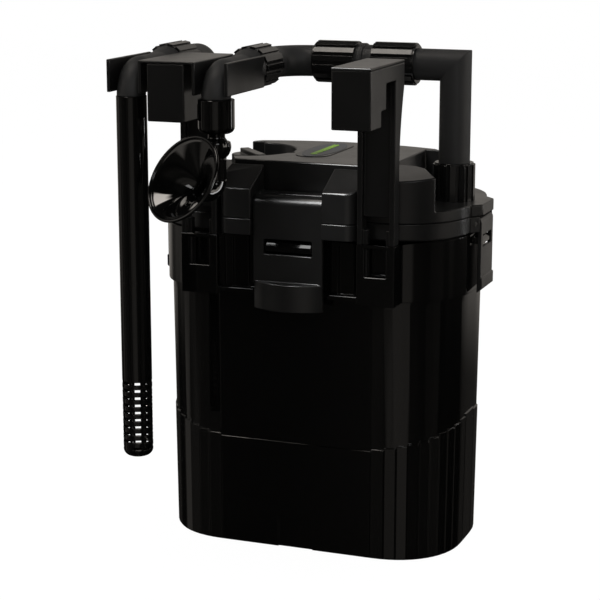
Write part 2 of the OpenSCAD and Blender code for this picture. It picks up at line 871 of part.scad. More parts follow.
module clip_pin_hole() {
    long = clip_w + 2 * (latch_play + clip_grip) + 2 * fit;
    translate([clip_out, long / 2, clip_z]) rotate([90, 0, 0]) cylinder(r = clip_pin_r + pin_play, h = long);
}

module head_cover() color("#38393b") {
    difference() {
        union() {
            translate([0, 0, cover_z]) linear_extrude(shelf_t) body_plan(flange_lip);
            on_clip_sides() translate([0, 0, cover_z]) linear_extrude(shelf_t) clip_boss_plan();
            translate([0, 0, shelf_z - over]) linear_extrude(raise_h + over) raised_plan();
            lobes();
            translate([0, 0, cover_z]) linear_extrude(top_z - cover_z) front_box_plan();
            translate([gland_x, raise_rear + boss_cover, gland_z]) rotate([90, 0, 0])
                cylinder(r = gland_r + gland_wall, h = gland_wall);
        }
        front_slope();
        translate([0, 0, cover_z - over]) linear_extrude(top_z - cover_z + 2 * over)
            latch_channel(hinge_y + barrel_r + boss_gap - box_y);
        translate([0, 0, hinge_z + barrel_r]) linear_extrude(top_z - hinge_z)
            latch_channel(-raise_front - boss_cover - box_y);
        along_x(latch_w + 2 * (latch_play + pin_grip))
            translate([hinge_y, hinge_z]) circle(pin_r + pin_play);
        for (s = [-1, 1]) translate([s * port_x, 0, cover_z - over])
            cylinder(r = thread_r + 2 * fit, h = shelf_t + 2 * over);
        translate([motor_x - stator_w / 2 - stator_play, -stator_d / 2 - stator_play, cover_z - over])
            cube([stator_w + 2 * stator_play, stator_d + 2 * stator_play, stator_h + stator_play + over]);
        translate([lever_x, lever_y, top_z - lever_well_d])
            cylinder(r = lever_well_r, h = lever_well_d + over);
        rotate_about_lever(lever_angle + 40) translate([lever_well_r, 0, top_z - over])
            cylinder(r = rim_cut_r, h = 2 * over);
        translate([lever_x, lever_y, cover_z - over]) cylinder(r = stem_r + stem_play, h = raise_h + shelf_t);
        translate([lever_x, lever_y, cover_z - over]) cylinder(r = stem_seal_r + fit, h = stem_seal_h + over);
        translate([pad_x, pad_y, top_z - pad_t + pad_proud]) linear_extrude(pad_t + over) pad_plan(fit);
        at_screws(cover_z - over) cylinder(r = screw_r + fit, h = screw_grip + 2 * over);
        translate([gland_x, raise_rear + gland_wall, gland_z]) rotate([90, 0, 0])
            cylinder(r = gland_r + fit, h = raise_rear + gland_wall - stator_d / 2);
    }
}

// Plan of the cover's raised middle between the port pockets
module raised_plan() {
    intersection() {
        translate([0, raise_rear - raise_arc]) circle(raise_arc, $fn = 8 * edge_fn);
        union() {
            polygon([[-box_hw, -raise_front], [box_hw, -raise_front],
                     [raise_hw, -lobe_rear], [raise_hw, pocket_rear],
                     [raise_hw + pocket_side, pocket_rear], [raise_hw + pocket_side - 3, pocket_rear + 4],
                     [raise_hw - 6, raise_rear + over],
                     [6 - raise_hw, raise_rear + over],
                     [3 - raise_hw - pocket_side, pocket_rear + 4], [-raise_hw - pocket_side, pocket_rear],
                     [-raise_hw, pocket_rear], [-raise_hw, -lobe_rear]]);
        }
    }
}

// The two front lobes, flush with the flange and sloping up to the middle
module lobes() {
    far = 2 * flange_hw;
    corner = port_x + 0.8;
    difference() {
        translate([0, 0, shelf_z - over]) linear_extrude(raise_h + over) intersection() {
            body_plan(flange_lip);
            for (s = [0, 1]) mirror([s, 0])
                polygon([[box_hw - over, -lobe_rear], [box_hw - over, -far], [far, -far],
                         [corner + far / 5, -raise_front - far / 4], [corner, -raise_front],
                         [corner - lobe_nose, -lobe_rear - lobe_back],
                         [corner - lobe_end, -lobe_rear - lobe_back / 8],
                         [raise_hw, -lobe_rear]]);
        }
        translate([0, -flange_hd, shelf_z + lobe_h]) rotate([lobe_slope, 0, 0])
            translate([-far, -far, 0]) cube([2 * far, 2 * far, raise_h]);
    }
}

module front_slope() {
    along_x(2 * box_hw + 2 * over)
        polygon([[box_y - over, top_z + over], [box_y - over, box_top], [box_y, box_top],
                 [-raise_front, top_z], [-raise_front, top_z + over]]);
}

module rotate_about_lever(a) {
    translate([lever_x, lever_y, 0]) rotate([0, 0, a]) children();
}

module pad_plan(g) {
    for (s = [-1, 1]) translate([0, s * (pad_l - pad_w) / 2]) circle(pad_w / 2 + g);
    square([pad_w + 2 * g, pad_l - pad_w], center = true);
}

module label_pad() color("#2c2d2f") {
    translate([pad_x, pad_y, top_z - pad_t + pad_proud]) linear_extrude(pad_t) pad_plan(0);
}

module seal_ring() color("#0c0c0d") {
    translate([0, 0, can_h]) linear_extrude(seal_gap + seal_groove) difference() {
        body_plan(-seal_in);
        body_plan(-seal_in - seal_w);
    }
}

module cover_screws() color("#8f9194") {
    at_screws(flange_z + screw_head_h) {
        cylinder(r = screw_r, h = base_t - screw_head_h + screw_grip);
        translate([0, 0, -screw_head_h]) difference() {
            cylinder(r = screw_head_r, h = screw_head_h);
            translate([0, 0, -over]) cylinder(r = screw_r, h = over + screw_head_h / 2, $fn = 6);
        }
    }
}

module cord_gland() color("#101011") {
    inside = raise_rear - stator_d / 2 - stator_play;
    translate([gland_x, raise_rear + boss_cover, gland_z]) rotate([-90, 0, 0]) difference() {
        union() {
            translate([0, 0, -inside]) cylinder(r = gland_r, h = inside + gland_out);
            cylinder(r = gland_r + gland_wall - fit, h = gland_out / 3);
            translate([0, 0, gland_out])
                cylinder(r1 = gland_r, r2 = gland_bore + gland_wall / 2, h = gland_wall);
        }
        translate([0, 0, -inside - over])
            cylinder(r = gland_bore, h = inside + gland_out + gland_wall + 2 * over);
    }
}

module front_latch() color("#2e2f31") {
    low = hinge_z - latch_drop;
    half = latch_w / 2;
    arc_r = (half * half + lip_bow * lip_bow) / (2 * lip_bow);
    arc_y = latch_y + latch_t / 3 - lip_bow + arc_r;
    difference() {
        union() {
            translate([-half, latch_y, low - over]) cube([latch_w, latch_t, latch_drop + over]);
            along_x(latch_w) translate([hinge_y, hinge_z]) circle(barrel_r);
            translate([0, 0, low - lip_h]) linear_extrude(lip_h) intersection() {
                translate([0, arc_y]) difference() {
                    circle(arc_r);
                    circle(arc_r - latch_t);
                }
                translate([-half, latch_y - 2 * lip_bow]) square([latch_w, 2 * lip_bow + latch_t]);
            }
            translate([0, 0, low - latch_t]) linear_extrude(latch_t) intersection() {
                translate([0, arc_y]) circle(arc_r - latch_t / 2);
                translate([-half, latch_y - 2 * lip_bow]) square([latch_w, 2 * lip_bow + latch_t]);
            }
        }
        along_x(latch_w + 2 * over) translate([hinge_y, hinge_z]) circle(pin_r + pin_play);
        translate([-slot_w / 2, latch_y - over, hinge_z - slot_drop - slot_h])
            cube([slot_w, latch_t + 2 * over, slot_h]);
    }
}

module front_pin() color("#9a9c9f") {
    long = latch_w + 2 * (latch_play + pin_grip) - 2 * fit;
    along_x(long) translate([hinge_y, hinge_z]) circle(pin_r);
}

// A clip latch in its own frame, with X outward from the flange's edge
module clip_latch() color("#26272a") {
    face = clip_out + clip_r;
    low = clip_z - clip_drop;
    difference() {
        union() {
            rotate([90, 0, 0]) linear_extrude(clip_w, center = true) {
                polygon([[face - clip_t, clip_z], [face - clip_t, low], [face + clip_t / 3, low + clip_t],
                         [face + clip_t / 3, low + clip_lip], [face, low + clip_lip], [face, clip_z]]);
                translate([clip_out, clip_z]) circle(clip_r);
            }
        }
        translate([clip_out, clip_w, clip_z]) rotate([90, 0, 0])
            cylinder(r = clip_pin_r + pin_play, h = 2 * clip_w);
        translate([face - clip_t - over, clip_edge - clip_w / 2, clip_tooth_z - tooth_play])
            cube([2 * clip_t + 2 * over, clip_w - 2 * clip_edge, clip_tooth_h + 2 * tooth_play]);
    }
}

module clip_pin() color("#9a9c9f") {
    long = clip_w + 2 * (latch_play + clip_grip);
    translate([clip_out, long / 2, clip_z]) rotate([90, 0, 0]) cylinder(r = clip_pin_r, h = long);
}

module right_latch() {
    translate([flange_hw, 0, 0]) clip_latch();
}

module left_latch() {
    rotate([0, 0, 180]) translate([flange_hw, 0, 0]) clip_latch();
}

module rear_latch() {
    rotate([0, 0, 90]) translate([flange_hd, 0, 0]) clip_latch();
}

module clip_pins() {
    on_clip_sides() clip_pin();
}

module impeller_cover() color("#1c1d1f") {
    low = volute_z - cover_plate;
    translate([motor_x, 0, low]) difference() {
        union() {
            ring(volute_r + plug_t, eye_r, cover_plate);
            cylinder(r = bush_r + plug_t / 2, h = cover_plate);
            for (a = [0:120:240]) rotate([0, 0, a])
                translate([0, -blade_t / 2, 0]) cube([eye_r + over, blade_t, cover_plate]);
        }
        translate([0, 0, -over]) cylinder(r = bush_r + fit, h = cover_plate + 2 * over);
    }
}

module impeller() color("#3a3b3e") {
    disc = flange_z - impeller_z - blade_h - blade_gap;
    translate([motor_x, 0, impeller_z]) difference() {
        union() {
            cylinder(r = shaft_r + 2.4, h = blade_h + disc);
            translate([0, 0, blade_h]) cylinder(r = impeller_r, h = disc);
            translate([0, 0, blade_h]) cylinder(r = shaft_r + 3.4, h = rotor_z - impeller_z - blade_h);
            for (i = [0:blade_n - 1]) rotate([0, 0, 360 * i / blade_n])
                translate([shaft_r + 1.4, -blade_t / 2, 0])
                    cube([impeller_r - shaft_r - 2, blade_t, blade_h + disc / 2]);
        }
        translate([0, 0, -over]) cylinder(r = shaft_r + shaft_play, h = 2 * (blade_h + plug_h));
    }
}

module magnet_rotor() color("#0e0e10") {
    translate([motor_x, 0, rotor_z]) ring(rotor_r, shaft_r + shaft_play, rotor_l);
}

module impeller_shaft() color("#d8d8d4") {
    translate([motor_x, 0, volute_z - cover_plate])
        cylinder(r = shaft_r, h = well_top - volute_z + cover_plate);
}

module lower_bush() color("#111112") {
    translate([motor_x, 0, volute_z - cover_plate]) ring(bush_r, shaft_r, cover_plate);
}

module upper_bush() color("#111112") {
    translate([motor_x, 0, well_top - bush_h]) ring(well_r, shaft_r, bush_h);
}

module motor_block() color("#191a1c") {
    translate([motor_x, 0, cover_z]) difference() {
        linear_extrude(stator_h) rounded_plan(stator_w, stator_d, box_r / 2);
        translate([0, 0, -over])
            cylinder(r = well_r + well_wall + fit, h = well_top + well_wall + 2 * over - cover_z);
    }
}

module flow_lever() color("#1b1c1e") {
    low = top_z - lever_well_d + lever_float;
    bar_top = top_z - low;
    rotate_about_lever(lever_angle) translate([0, 0, low]) difference() {
        union() {
            cylinder(r = lever_hub_r, h = bar_top - lever_w / 2);
            translate([-lever_hub_r * 2 / 3, -lever_w / 2, 0])
                cube([lever_l + lever_hub_r * 2 / 3 - lever_w / 2, lever_w, bar_top]);
            translate([lever_l - lever_w / 2, 0, 0]) cylinder(r = lever_w / 2, h = bar_top);
        }
        translate([0, 0, -over]) cylinder(r = stem_r + fit, h = stem_grip + over);
    }
}

module lever_stem() color("#2b2c2e") {
    translate([lever_x, lever_y, shutter_z])
        cylinder(r = stem_r, h = top_z - lever_well_d + lever_float + stem_grip - shutter_z);
}

module stem_seal() color("#0c0c0d") {
    translate([lever_x, lever_y, cover_z]) ring(stem_seal_r, stem_r + stem_play, stem_seal_h);
}

// The shutter under the head swings over the inlet as the lever turns
module flow_shutter() color("#2b2c2e") {
    reach = norm([lever_x + port_x, lever_y]);
    home = atan2(-lever_y, -port_x - lever_x);
    rotate_about_lever(home - lever_turn) translate([0, 0, shutter_z]) difference() {
        union() {
            cylinder(r = stem_r + 1.6, h = shutter_t);
            translate([0, -stem_r, 0]) cube([reach, 2 * stem_r, shutter_t]);
            translate([reach, 0, 0]) cylinder(r = shutter_r, h = shutter_t);
        }
        translate([0, 0, -over]) cylinder(r = stem_r + fit, h = shutter_t + 2 * over);
    }
}

// A ribbed union nut, with its threaded end at the bottom and its collar at l
module nut(l) {
    difference() {
        union() {
            cylinder(r = nut_r - nut_groove, h = l);
            for (i = [0:nut_ribs - 1]) rotate([0, 0, 360 * i / nut_ribs])
                translate([0, -rib_w / 2, 0]) cube([nut_r, rib_w, l - nut_groove]);
        }
        translate([0, 0, -over]) cylinder(r = nut_bore, h = l - nut_lip + over);
        translate([0, 0, l - nut_lip - over]) cylinder(r = nut_hole, h = nut_lip + 2 * over);
    }
}

// Frames at the threaded ends of the nuts, with Z along the pipe to the collar
module at_head_nut(s) {
    translate([s * port_x, 0, shelf_z]) children();
}

module at_run_nut(x) {
    translate([x, -run_nut_back - nut_l, pipe_z]) rotate([-90, 0, 0]) children();
}

module at_union(s) {
    translate([union_x + s * union_gap, 0, pipe_z]) rotate([0, s * 90, 0]) children();
}

module intake_head_nut() color("#151517") {
    at_head_nut(-1) nut(head_nut_l);
}

module outlet_head_nut() color("#151517") {
    at_head_nut(1) nut(head_nut_l);
}

module intake_run_nut() color("#151517") {
    at_run_nut(-port_x) nut(nut_l);
}

module outlet_run_nut() color("#151517") {
    at_run_nut(outlet_x) nut(nut_l);
}

module union_nut_right() color("#151517") {
    at_union(1) nut(nut_l);
}

module union_nut_left() color("#151517") {
    at_union(-1) nut(nut_l);
}

// End flange of a pipe inside a nut of length l, in the nut's frame
module pipe_end(l) {
    translate([0, 0, l - nut_lip - end_flange - fit]) cylinder(r = flange_r, h = end_flange);
}

module pipe_seals() color("#0b0b0c") {
    for (s = [-1, 1]) at_head_nut(s) seal_at(head_nut_l);
    for (x = [-port_x, outlet_x]) at_run_nut(x) seal_at(nut_l);
    for (s = [-1, 1]) at_union(s) seal_at(nut_l);
}

module seal_at(l) {
    translate([0, 0, l - nut_lip - end_flange - fit - pipe_seal]) ring(flange_r, pipe_bore, pipe_seal);
}

// A quarter bend that starts upward at the origin and ends along +X
module quarter_bend(r, bend) {
    translate([bend, 0, 0]) rotate([90, 0, 0]) rotate([0, 0, 90])
        rotate_extrude(angle = 90) translate([bend, 0]) circle(r);
}

module intake_riser_core(r, e) {
    foot = pipe_foot - e;
    translate([-port_x, 0, foot]) cylinder(r = r, h = elbow_z - foot);
    translate([-port_x, 0, elbow_z]) rotate([0, 0, -90]) quarter_bend(r, elbow_bend);
    end = -run_nut_back - nut_lip - end_flange - fit - e;
    translate([-port_x, end, pipe_z]) rotate([-90, 0, 0]) cylinder(r = r, h = -elbow_bend - end);
}

module intake_riser() color("#55575a") {
    difference() {
        union() {
            intake_riser_core(pipe_r, 0);
            at_head_nut(-1) pipe_end(head_nut_l);
            at_run_nut(-port_x) pipe_end(nut_l);
        }
        intake_riser_core(pipe_bore, over);
    }
}

// Half space on one side of the outlet's mitre
module mitre_half(s) {
    far = 2 * pipe_z;
    translate([port_x, 0, pipe_z]) rotate([0, -45, 0])
        translate([-far, -far, s < 0 ? -2 * far : 0]) cube(2 * far);
}

module outlet_riser_core(r, e) {
    foot = pipe_foot - e;
    end = union_x + union_gap + nut_l - nut_lip - end_flange - fit - e;
    intersection() {
        translate([port_x, 0, foot]) cylinder(r = r, h = pipe_z + pipe_r - foot);
        mitre_half(-1);
    }
    intersection() {
        translate([end, 0, pipe_z]) rotate([0, 90, 0]) cylinder(r = r, h = port_x + pipe_r - end);
        mitre_half(1);
    }
}

module outlet_riser() color("#55575a") {
    difference() {
        union() {
            outlet_riser_core(pipe_r, 0);
            at_head_nut(1) pipe_end(head_nut_l);
            at_union(1) pipe_end(nut_l);
        }
        outlet_riser_core(pipe_bore, over);
    }
}

module union_body() color("#3d3f42") {
    thread = union_gap + nut_l - nut_lip - end_flange - fit - pipe_seal;
    translate([union_x, 0, pipe_z]) rotate([0, 90, 0]) difference() {
        union() {
            translate([0, 0, -thread]) cylinder(r = thread_r, h = 2 * thread);
            translate([0, 0, -union_flange_off - union_flange / 2])
                cylinder(r = nut_r - nut_groove, h = union_flange);
        }
        translate([0, 0, -thread - over]) cylinder(r = pipe_bore, h = 2 * (thread + over));
    }
}

module outlet_bend_core(r, e) {
    x_end = union_x - union_gap - nut_l + nut_lip + end_flange + fit + e;
    y_end = -run_nut_back - nut_lip - end_flange - fit - e;
    x_bend = outlet_x + outlet_bend_r;
    translate([x_bend, 0, pipe_z]) rotate([0, 90, 0]) cylinder(r = r, h = x_end - x_bend);
    translate([x_bend, -outlet_bend_r, pipe_z]) rotate([0, 0, 90])
        rotate_extrude(angle = 90) translate([outlet_bend_r, 0]) circle(r);
    translate([outlet_x, y_end, pipe_z]) rotate([-90, 0, 0]) cylinder(r = r, h = -outlet_bend_r - y_end);
}

module outlet_bend() color("#55575a") {
    difference() {
        union() {
            outlet_bend_core(pipe_r, 0);
            at_union(-1) pipe_end(nut_l);
            at_run_nut(outlet_x) pipe_end(nut_l);
        }
        outlet_bend_core(pipe_bore, over);
    }
}

// Front elbow of either line, from its nut down to its spigot
module front_elbow(x) {
    seat = -run_nut_back - nut_l;
    thread = nut_l - nut_lip - end_flange - pipe_seal - 2 * fit;
    difference() {
        union() {
            front_elbow_core(x, elbow_r, seat, 0);
            translate([x, seat - cone_l, pipe_z]) rotate([-90, 0, 0])
                cylinder(r1 = elbow_r, r2 = cone_r, h = cone_l);
            translate([x, seat - over, pipe_z]) rotate([-90, 0, 0]) cylinder(r = thread_r, h = thread + over);
            translate([x, drop_y, elbow_z - spigot_l]) cylinder(r = tube_bore - fit, h = spigot_l + over);
        }
        front_elbow_core(x, elbow_bore, seat + thread + over, spigot_l + over);
    }
}

module front_elbow_core(x, r, y_end, down) {
    y_run = drop_y + elbow_bend;
    if (down > 0) translate([x, drop_y, elbow_z - down]) cylinder(r = r, h = down);
    translate([x, drop_y, elbow_z]) rotate([0, 0, 90]) quarter_bend(r, elbow_bend);
    translate([x, y_run, pipe_z]) rotate([-90, 0, 0]) cylinder(r = r, h = y_end - y_run);
}

module intake_elbow() color("#55575a") {
    front_elbow(-port_x);
}

module outlet_elbow() color("#55575a") {
    front_elbow(outlet_x);
}

module intake_tube() color("#121214") {
    translate([-port_x, drop_y, seam_z]) difference() {
        union() {
            cylinder(r = tube_r, h = tube_l);
            translate([0, 0, -spigot_l]) cylinder(r = tube_bore - fit, h = spigot_l + over);
        }
        translate([0, 0, -spigot_l - over])
            cylinder(r = tube_bore - fit - tube_wall, h = spigot_l + 2 * over);
        translate([0, 0, over]) cylinder(r = tube_bore, h = tube_l);
    }
}

module strainer() color("#121214") {
    translate([-port_x, drop_y, strainer_z]) difference() {
        rotate_extrude() difference() {
            polygon(concat([[0, 0]],
                [for (a = [0:15:90]) [tube_r - strainer_round * (1 - sin(a)), strainer_round * (1 - cos(a))]],
                [[tube_r, strainer_l], [0, strainer_l]]));
            translate([0, tube_wall]) square([tube_bore, strainer_l]);
        }
        for (i = [0:slot_rows - 1]) for (a = [0:45:135]) rotate([0, 0, a + 20])
            translate([-tube_r - over, -strainer_slot_w / 2, slot_start + i * slot_pitch])
                cube([2 * (tube_r + over), strainer_slot_w, strainer_slot_h]);
    }
}

module swivel_sleeve() color("#131315") {
    low = -sleeve_l;
    fillet = sleeve_r - stalk_r - 1.6;
    translate([outlet_x, drop_y, elbow_z]) difference() {
        union() {
            rotate_extrude() polygon(concat([[0, low], [sleeve_r - fillet, low]],
                [for (a = [15:15:90]) [sleeve_r - fillet * (1 - sin(a)), low + fillet * (1 - cos(a))]],
                [[sleeve_r, 0], [0, 0]]));
            translate([0, 0, low - ball_drop]) cylinder(r = stalk_r, h = ball_drop + over);
            translate([0, 0, low - ball_drop]) sphere(ball_r);
        }
        translate([0, 0, -spigot_l - fit]) cylinder(r = tube_bore, h = spigot_l + over);
        translate([0, 0, low - ball_drop - ball_r - over])
            cylinder(r = ball_bore, h = sleeve_l + ball_drop + ball_r);
    }
}

// Radius of the trumpet's outside, with t from 0 at the bend to 1 at the mouth
function flare_r(t) = neck_r + (mouth_r - neck_r) * pow(t, 1.7);

// One ring of the trumpet: turned by a through the bend, then u along the flare.
// The ball's centre is the origin, and the mouth looks along +X.
function trumpet_ring(a, u, r) = [
    for (i = [0:trumpet_sides - 1])
        let (b = 360 * i / trumpet_sides)
        [neck_bend * (1 - cos(a)) + u * sin(a) + r * cos(b) * cos(a),
         r * sin(b),
         -neck_low - neck_bend * sin(a) - u * cos(a) + r * cos(b) * sin(a)]
];

// All rings on one face of the wall, with g the distance inside the outer face
function trumpet_rings(g) = let (turn = 90 + mouth_up) concat(
    [for (i = [0:bend_steps - 1]) trumpet_ring(turn * i / bend_steps, 0, neck_r - g)],
    [for (i = [0:flare_steps]) trumpet_ring(turn, flare_l * i / flare_steps, flare_r(i / flare_steps) - g)]
);

module trumpet_nozzle() color("#111113") {
    outside = trumpet_rings(0);
    inside = trumpet_rings(trumpet_wall);
    count = len(outside);
    turn = 90 + mouth_up;
    lip = [trumpet_ring(turn, flare_l, mouth_r + lip_out),
           trumpet_ring(turn, flare_l + lip_out, mouth_r + lip_out),
           trumpet_ring(turn, flare_l + 2 * lip_out, mouth_r),
           trumpet_ring(turn, flare_l + 2 * lip_out, mouth_r - trumpet_wall)];
    rings = concat(outside, lip, [for (i = [count - 1:-1:0]) inside[i]]);
    total = len(rings);
    side = trumpet_sides;
    points = [for (r = rings) for (p = r) p];
    faces = [for (k = [0:total - 1]) for (i = [0:side - 1])
        let (a = k * side + i, b = k * side + (i + 1) % side,
             c = ((k + 1) % total) * side + (i + 1) % side, d = ((k + 1) % total) * side + i)
        each [[a, b, c], [a, c, d]]];
    translate([outlet_x, drop_y, ball_z]) rotate([0, 0, mouth_dir]) polyhedron(points, faces);
}

// The socket that snaps over the ball and carries the trumpet
module nozzle_socket() color("#111113") {
    socket = ball_r + ball_play;
    outer = socket + socket_wall;
    translate([outlet_x, drop_y, ball_z]) difference() {
        union() {
            sphere(outer);
            translate([0, 0, -neck_low]) cylinder(r = neck_r, h = neck_low - socket);
        }
        translate([-outer, -outer, socket_rim]) cube(2 * outer);
        sphere(socket);
        translate([0, 0, -neck_low - over]) cylinder(r = neck_r - trumpet_wall, h = neck_low);
    }
}

// Rear edge of an upright: straight at the foot, then swept back under the hook
function upright_rear(z) =
    let (t = max(0, (z - sweep_low) / (sweep_high - sweep_low)))
    box_y + upright_d + (upright_top_d - upright_d) * t * t;

module upright_profile() {
    top = hanger_top - cap_t;
    polygon(concat([[box_y, collar_top], [upright_rear(0), collar_top]],
        [for (i = [0:8]) let (z = sweep_low + (sweep_high - sweep_low) * i / 8) [upright_rear(z), z]],
        [[box_y + upright_top_d, top], [box_y, top]]));
}

module hook_profile() {
    top = hanger_top - cap_t;
    front = box_y - hook_reach;
    step = hook_z + wide_h;
    polygon([[front, hook_z], [front, top], [box_y + upright_top_d, top], [box_y + upright_top_d, slot_top],
             [box_y - glass_narrow, slot_top], [box_y - glass_narrow, step], [box_y - glass_wide, step],
             [box_y - glass_wide, hook_z]]);
}

// The two feet of a hanger, grown by g and made longer upward by e
module hanger_feet(g, e) {
    for (s = [0, 1]) mirror([s, 0, 0])
        translate([hanger_w / 2 - hanger_flange - foot_t - g, box_y + foot_in - g, collar_top - foot_l - g])
            cube([foot_t + hanger_flange / 4 + 2 * g, foot_d + 2 * g, foot_l + g + e]);
}

module hanger() {
    inner = hanger_w - 2 * hanger_flange;
    top = hanger_top - cap_t;
    difference() {
        union() {
            for (s = [-1, 1]) translate([s * (hanger_w - hanger_flange) / 2, 0, 0])
                along_x(hanger_flange) upright_profile();
            translate([-inner / 2 - over, box_y + web_in, collar_top + window_h])
                cube([inner + 2 * over, web_t, slot_top - collar_top - window_h + over]);
            along_x(hanger_w) hook_profile();
            hanger_feet(0, foot_up);
        }
        hook_hollow(0);
    }
}

// The hollow in the top of a hook that its cap closes
module hook_hollow(g) {
    front = box_y - hook_reach + hook_wall;
    floor_z = slot_top + hook_wall;
    wide = hanger_w - 2 * hook_wall - 2 * g;
    translate([-wide / 2, front + g, floor_z])
        cube([wide, hook_reach + upright_top_d - 2 * hook_wall - 2 * g, hanger_top]);
    if (g == 0) translate([-wide / 2, front, hook_z + hook_wall])
        cube([wide, hook_reach - glass_wide - 2 * hook_wall, hanger_top]);
}

module hanger_right() color("#303134") {
    translate([hanger_x, 0, 0]) hanger();
}

module hanger_left() color("#303134") {
    translate([-hanger_x, 0, 0]) hanger();
}

// The rim under a cap that locates it in the hook's hollow
module cap_rim() {
    low = hanger_top - cap_t - cap_rim_h;
    intersection() {
        difference() {
            hook_hollow(2 * fit);
            hook_hollow(2 * fit + hook_wall / 2);
        }
        translate([-hanger_w, box_y - 2 * hook_reach, low])
            cube([2 * hanger_w, 4 * hook_reach, cap_rim_h + cap_t / 2]);
    }
}

module hanger_cap() color("#303134") {
    translate([hanger_x, 0, 0]) {
        translate([-hanger_w / 2, box_y - hook_reach, hanger_top - cap_t])
            cube([hanger_w, hook_reach + upright_top_d, cap_t]);
        cap_rim();
    }
}

// A channel that holds one front elbow, open at the top
module holder_channel(x) {
    half = elbow_r + holder_play;
    front = box_y - hook_reach;
    back = box_y + holder_back;
    low = pipe_z - half - holder_t;
    for (s = [-1, 1])
        translate([x + s * (half + holder_t / 2) - holder_t / 2, front, low])
            cube([holder_t, back - front, hanger_top - low]);
    translate([x - half - over / 2, drop_y + elbow_bend, low])
        cube([2 * half + over, back - drop_y - elbow_bend, holder_t]);
}

module pipe_holder() color("#303134") {
    half = elbow_r + holder_play;
    left = half - port_x;
    right = outlet_x - half;
    difference() {
        union() {
            holder_channel(-port_x);
            holder_channel(outlet_x);
            translate([left, box_y - hook_reach, hanger_top - cap_t])
                cube([right - left, hook_reach + upright_top_d, cap_t]);
            translate([-hanger_x, 0, 0]) cap_rim();
        }
        for (x = [-port_x, outlet_x]) translate([x, -run_nut_back - nut_l, pipe_z]) {
            rotate([90, 0, 0]) cylinder(r1 = cone_r + holder_play, r2 = elbow_r + holder_play, h = cone_l);
            translate([0, -holder_play, 0]) rotate([-90, 0, 0])
                cylinder(r = nut_r + holder_play, h = nut_l);
        }
    }
}

// Plan of a basket, which leaves room on the left for the drop tube
module basket_plan(g) {
    intersection() {
        polygon(full_plan(cavity_hw, cavity_hd, g - basket_play));
        translate([drop_r + 2 * basket_play - port_x - g, -can_d]) square([2 * can_w, 2 * can_d]);
    }
}

module basket(foot) {
    slots = floor((can_w - 4 * grid_pitch) / grid_pitch);
    difference() {
        union() {
            linear_extrude(basket_h) basket_plan(0);
            for (x = [-1, 1]) for (y = [-1, 1])
                translate([x * cavity_hw / 2, y * cavity_hd / 2, -foot])
                    cylinder(r = grid_slot, h = foot + over);
        }
        translate([0, 0, basket_wall]) linear_extrude(basket_h) basket_plan(-basket_wall);
        for (i = [0:slots - 1]) translate([(i - (slots - 1) / 2) * grid_pitch, 0, 0]) basket_slot();
    }
}

// One slot in a basket's floor, short where a foot stands
module basket_slot() {
    long = cavity_hd - 2 * grid_slot - 4;
    translate([-grid_slot / 2, -long / 2, -over]) cube([grid_slot, long, basket_wall + 2 * over]);
}

module lower_basket() color("#3b3d40") {
    translate([0, 0, lower_basket_z]) basket(basket_up);
}

module upper_basket() color("#3b3d40") {
    translate([0, 0, upper_basket_z]) basket(basket_gap);
}

module media(z, h) {
    translate([0, 0, z]) linear_extrude(h) basket_plan(-basket_wall - media_play);
}

module coarse_sponge() color("#1f3c5c") {
    media(lower_basket_z + basket_wall, coarse_t);
}

module ceramic_rings() color("#e6e2d8") {
    pitch = 2 * ring_r + 1.5;
    nx = floor((2 * cavity_hw - port_x) / pitch);
    ny = floor((2 * cavity_hd - front_ry) / pitch);
    for (i = [0:nx - 1]) for (j = [0:ny - 1])
        translate([(i - (nx - 1) / 2) * pitch + ring_shift, (j - (ny - 1) / 2) * pitch,
                   lower_basket_z + basket_wall + coarse_t])
            ring(ring_r, ring_r / 2, ring_l);
}

module fine_sponge() color("#2f3236") {
    media(upper_basket_z + basket_wall, fine_t);
}

module fine_floss() color("#f0f0ee") {
    media(upper_basket_z + basket_wall + fine_t, floss_t);
}

module drop_tube() color("#1a1b1d") {
    low = can_floor + drop_clear;
    translate([-port_x, 0, low]) difference() {
        cylinder(r = drop_r, h = shutter_z - shutter_gap - low);
        translate([0, 0, -over]) cylinder(r = drop_r - tube_wall, h = shutter_z);
        translate([-drop_r / 2, -drop_r - over, -over]) cube([drop_r, 2 * drop_r + 2 * over, drop_clear]);
    }
}

canister();
collar();
seal_ring();
head_base();
head_cover();
label_pad();
cover_screws();
cord_gland();
front_latch();
front_pin();
right_latch();
left_latch();
rear_latch();
clip_pins();
motor_block();
upper_bush();
lower_bush();
impeller_shaft();
impeller();
magnet_rotor();
impeller_cover();
flow_lever();
lever_stem();
stem_seal();
flow_shutter();
intake_head_nut();
intake_riser();
intake_run_nut();
intake_elbow();
intake_tube();
strainer();
outlet_head_nut();
outlet_riser();
union_nut_right();
union_body();
union_nut_left();
outlet_bend();
outlet_run_nut();
outlet_elbow();
pipe_seals();
swivel_sleeve();
nozzle_socket();
trumpet_nozzle();
hanger_right();
hanger_left();
hanger_cap();
pipe_holder();
lower_basket();
upper_basket();
coarse_sponge();
ceramic_rings();
fine_sponge();
fine_floss();
drop_tube();
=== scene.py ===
import json
import math

import bmesh
import bpy
from mathutils import Matrix, Vector


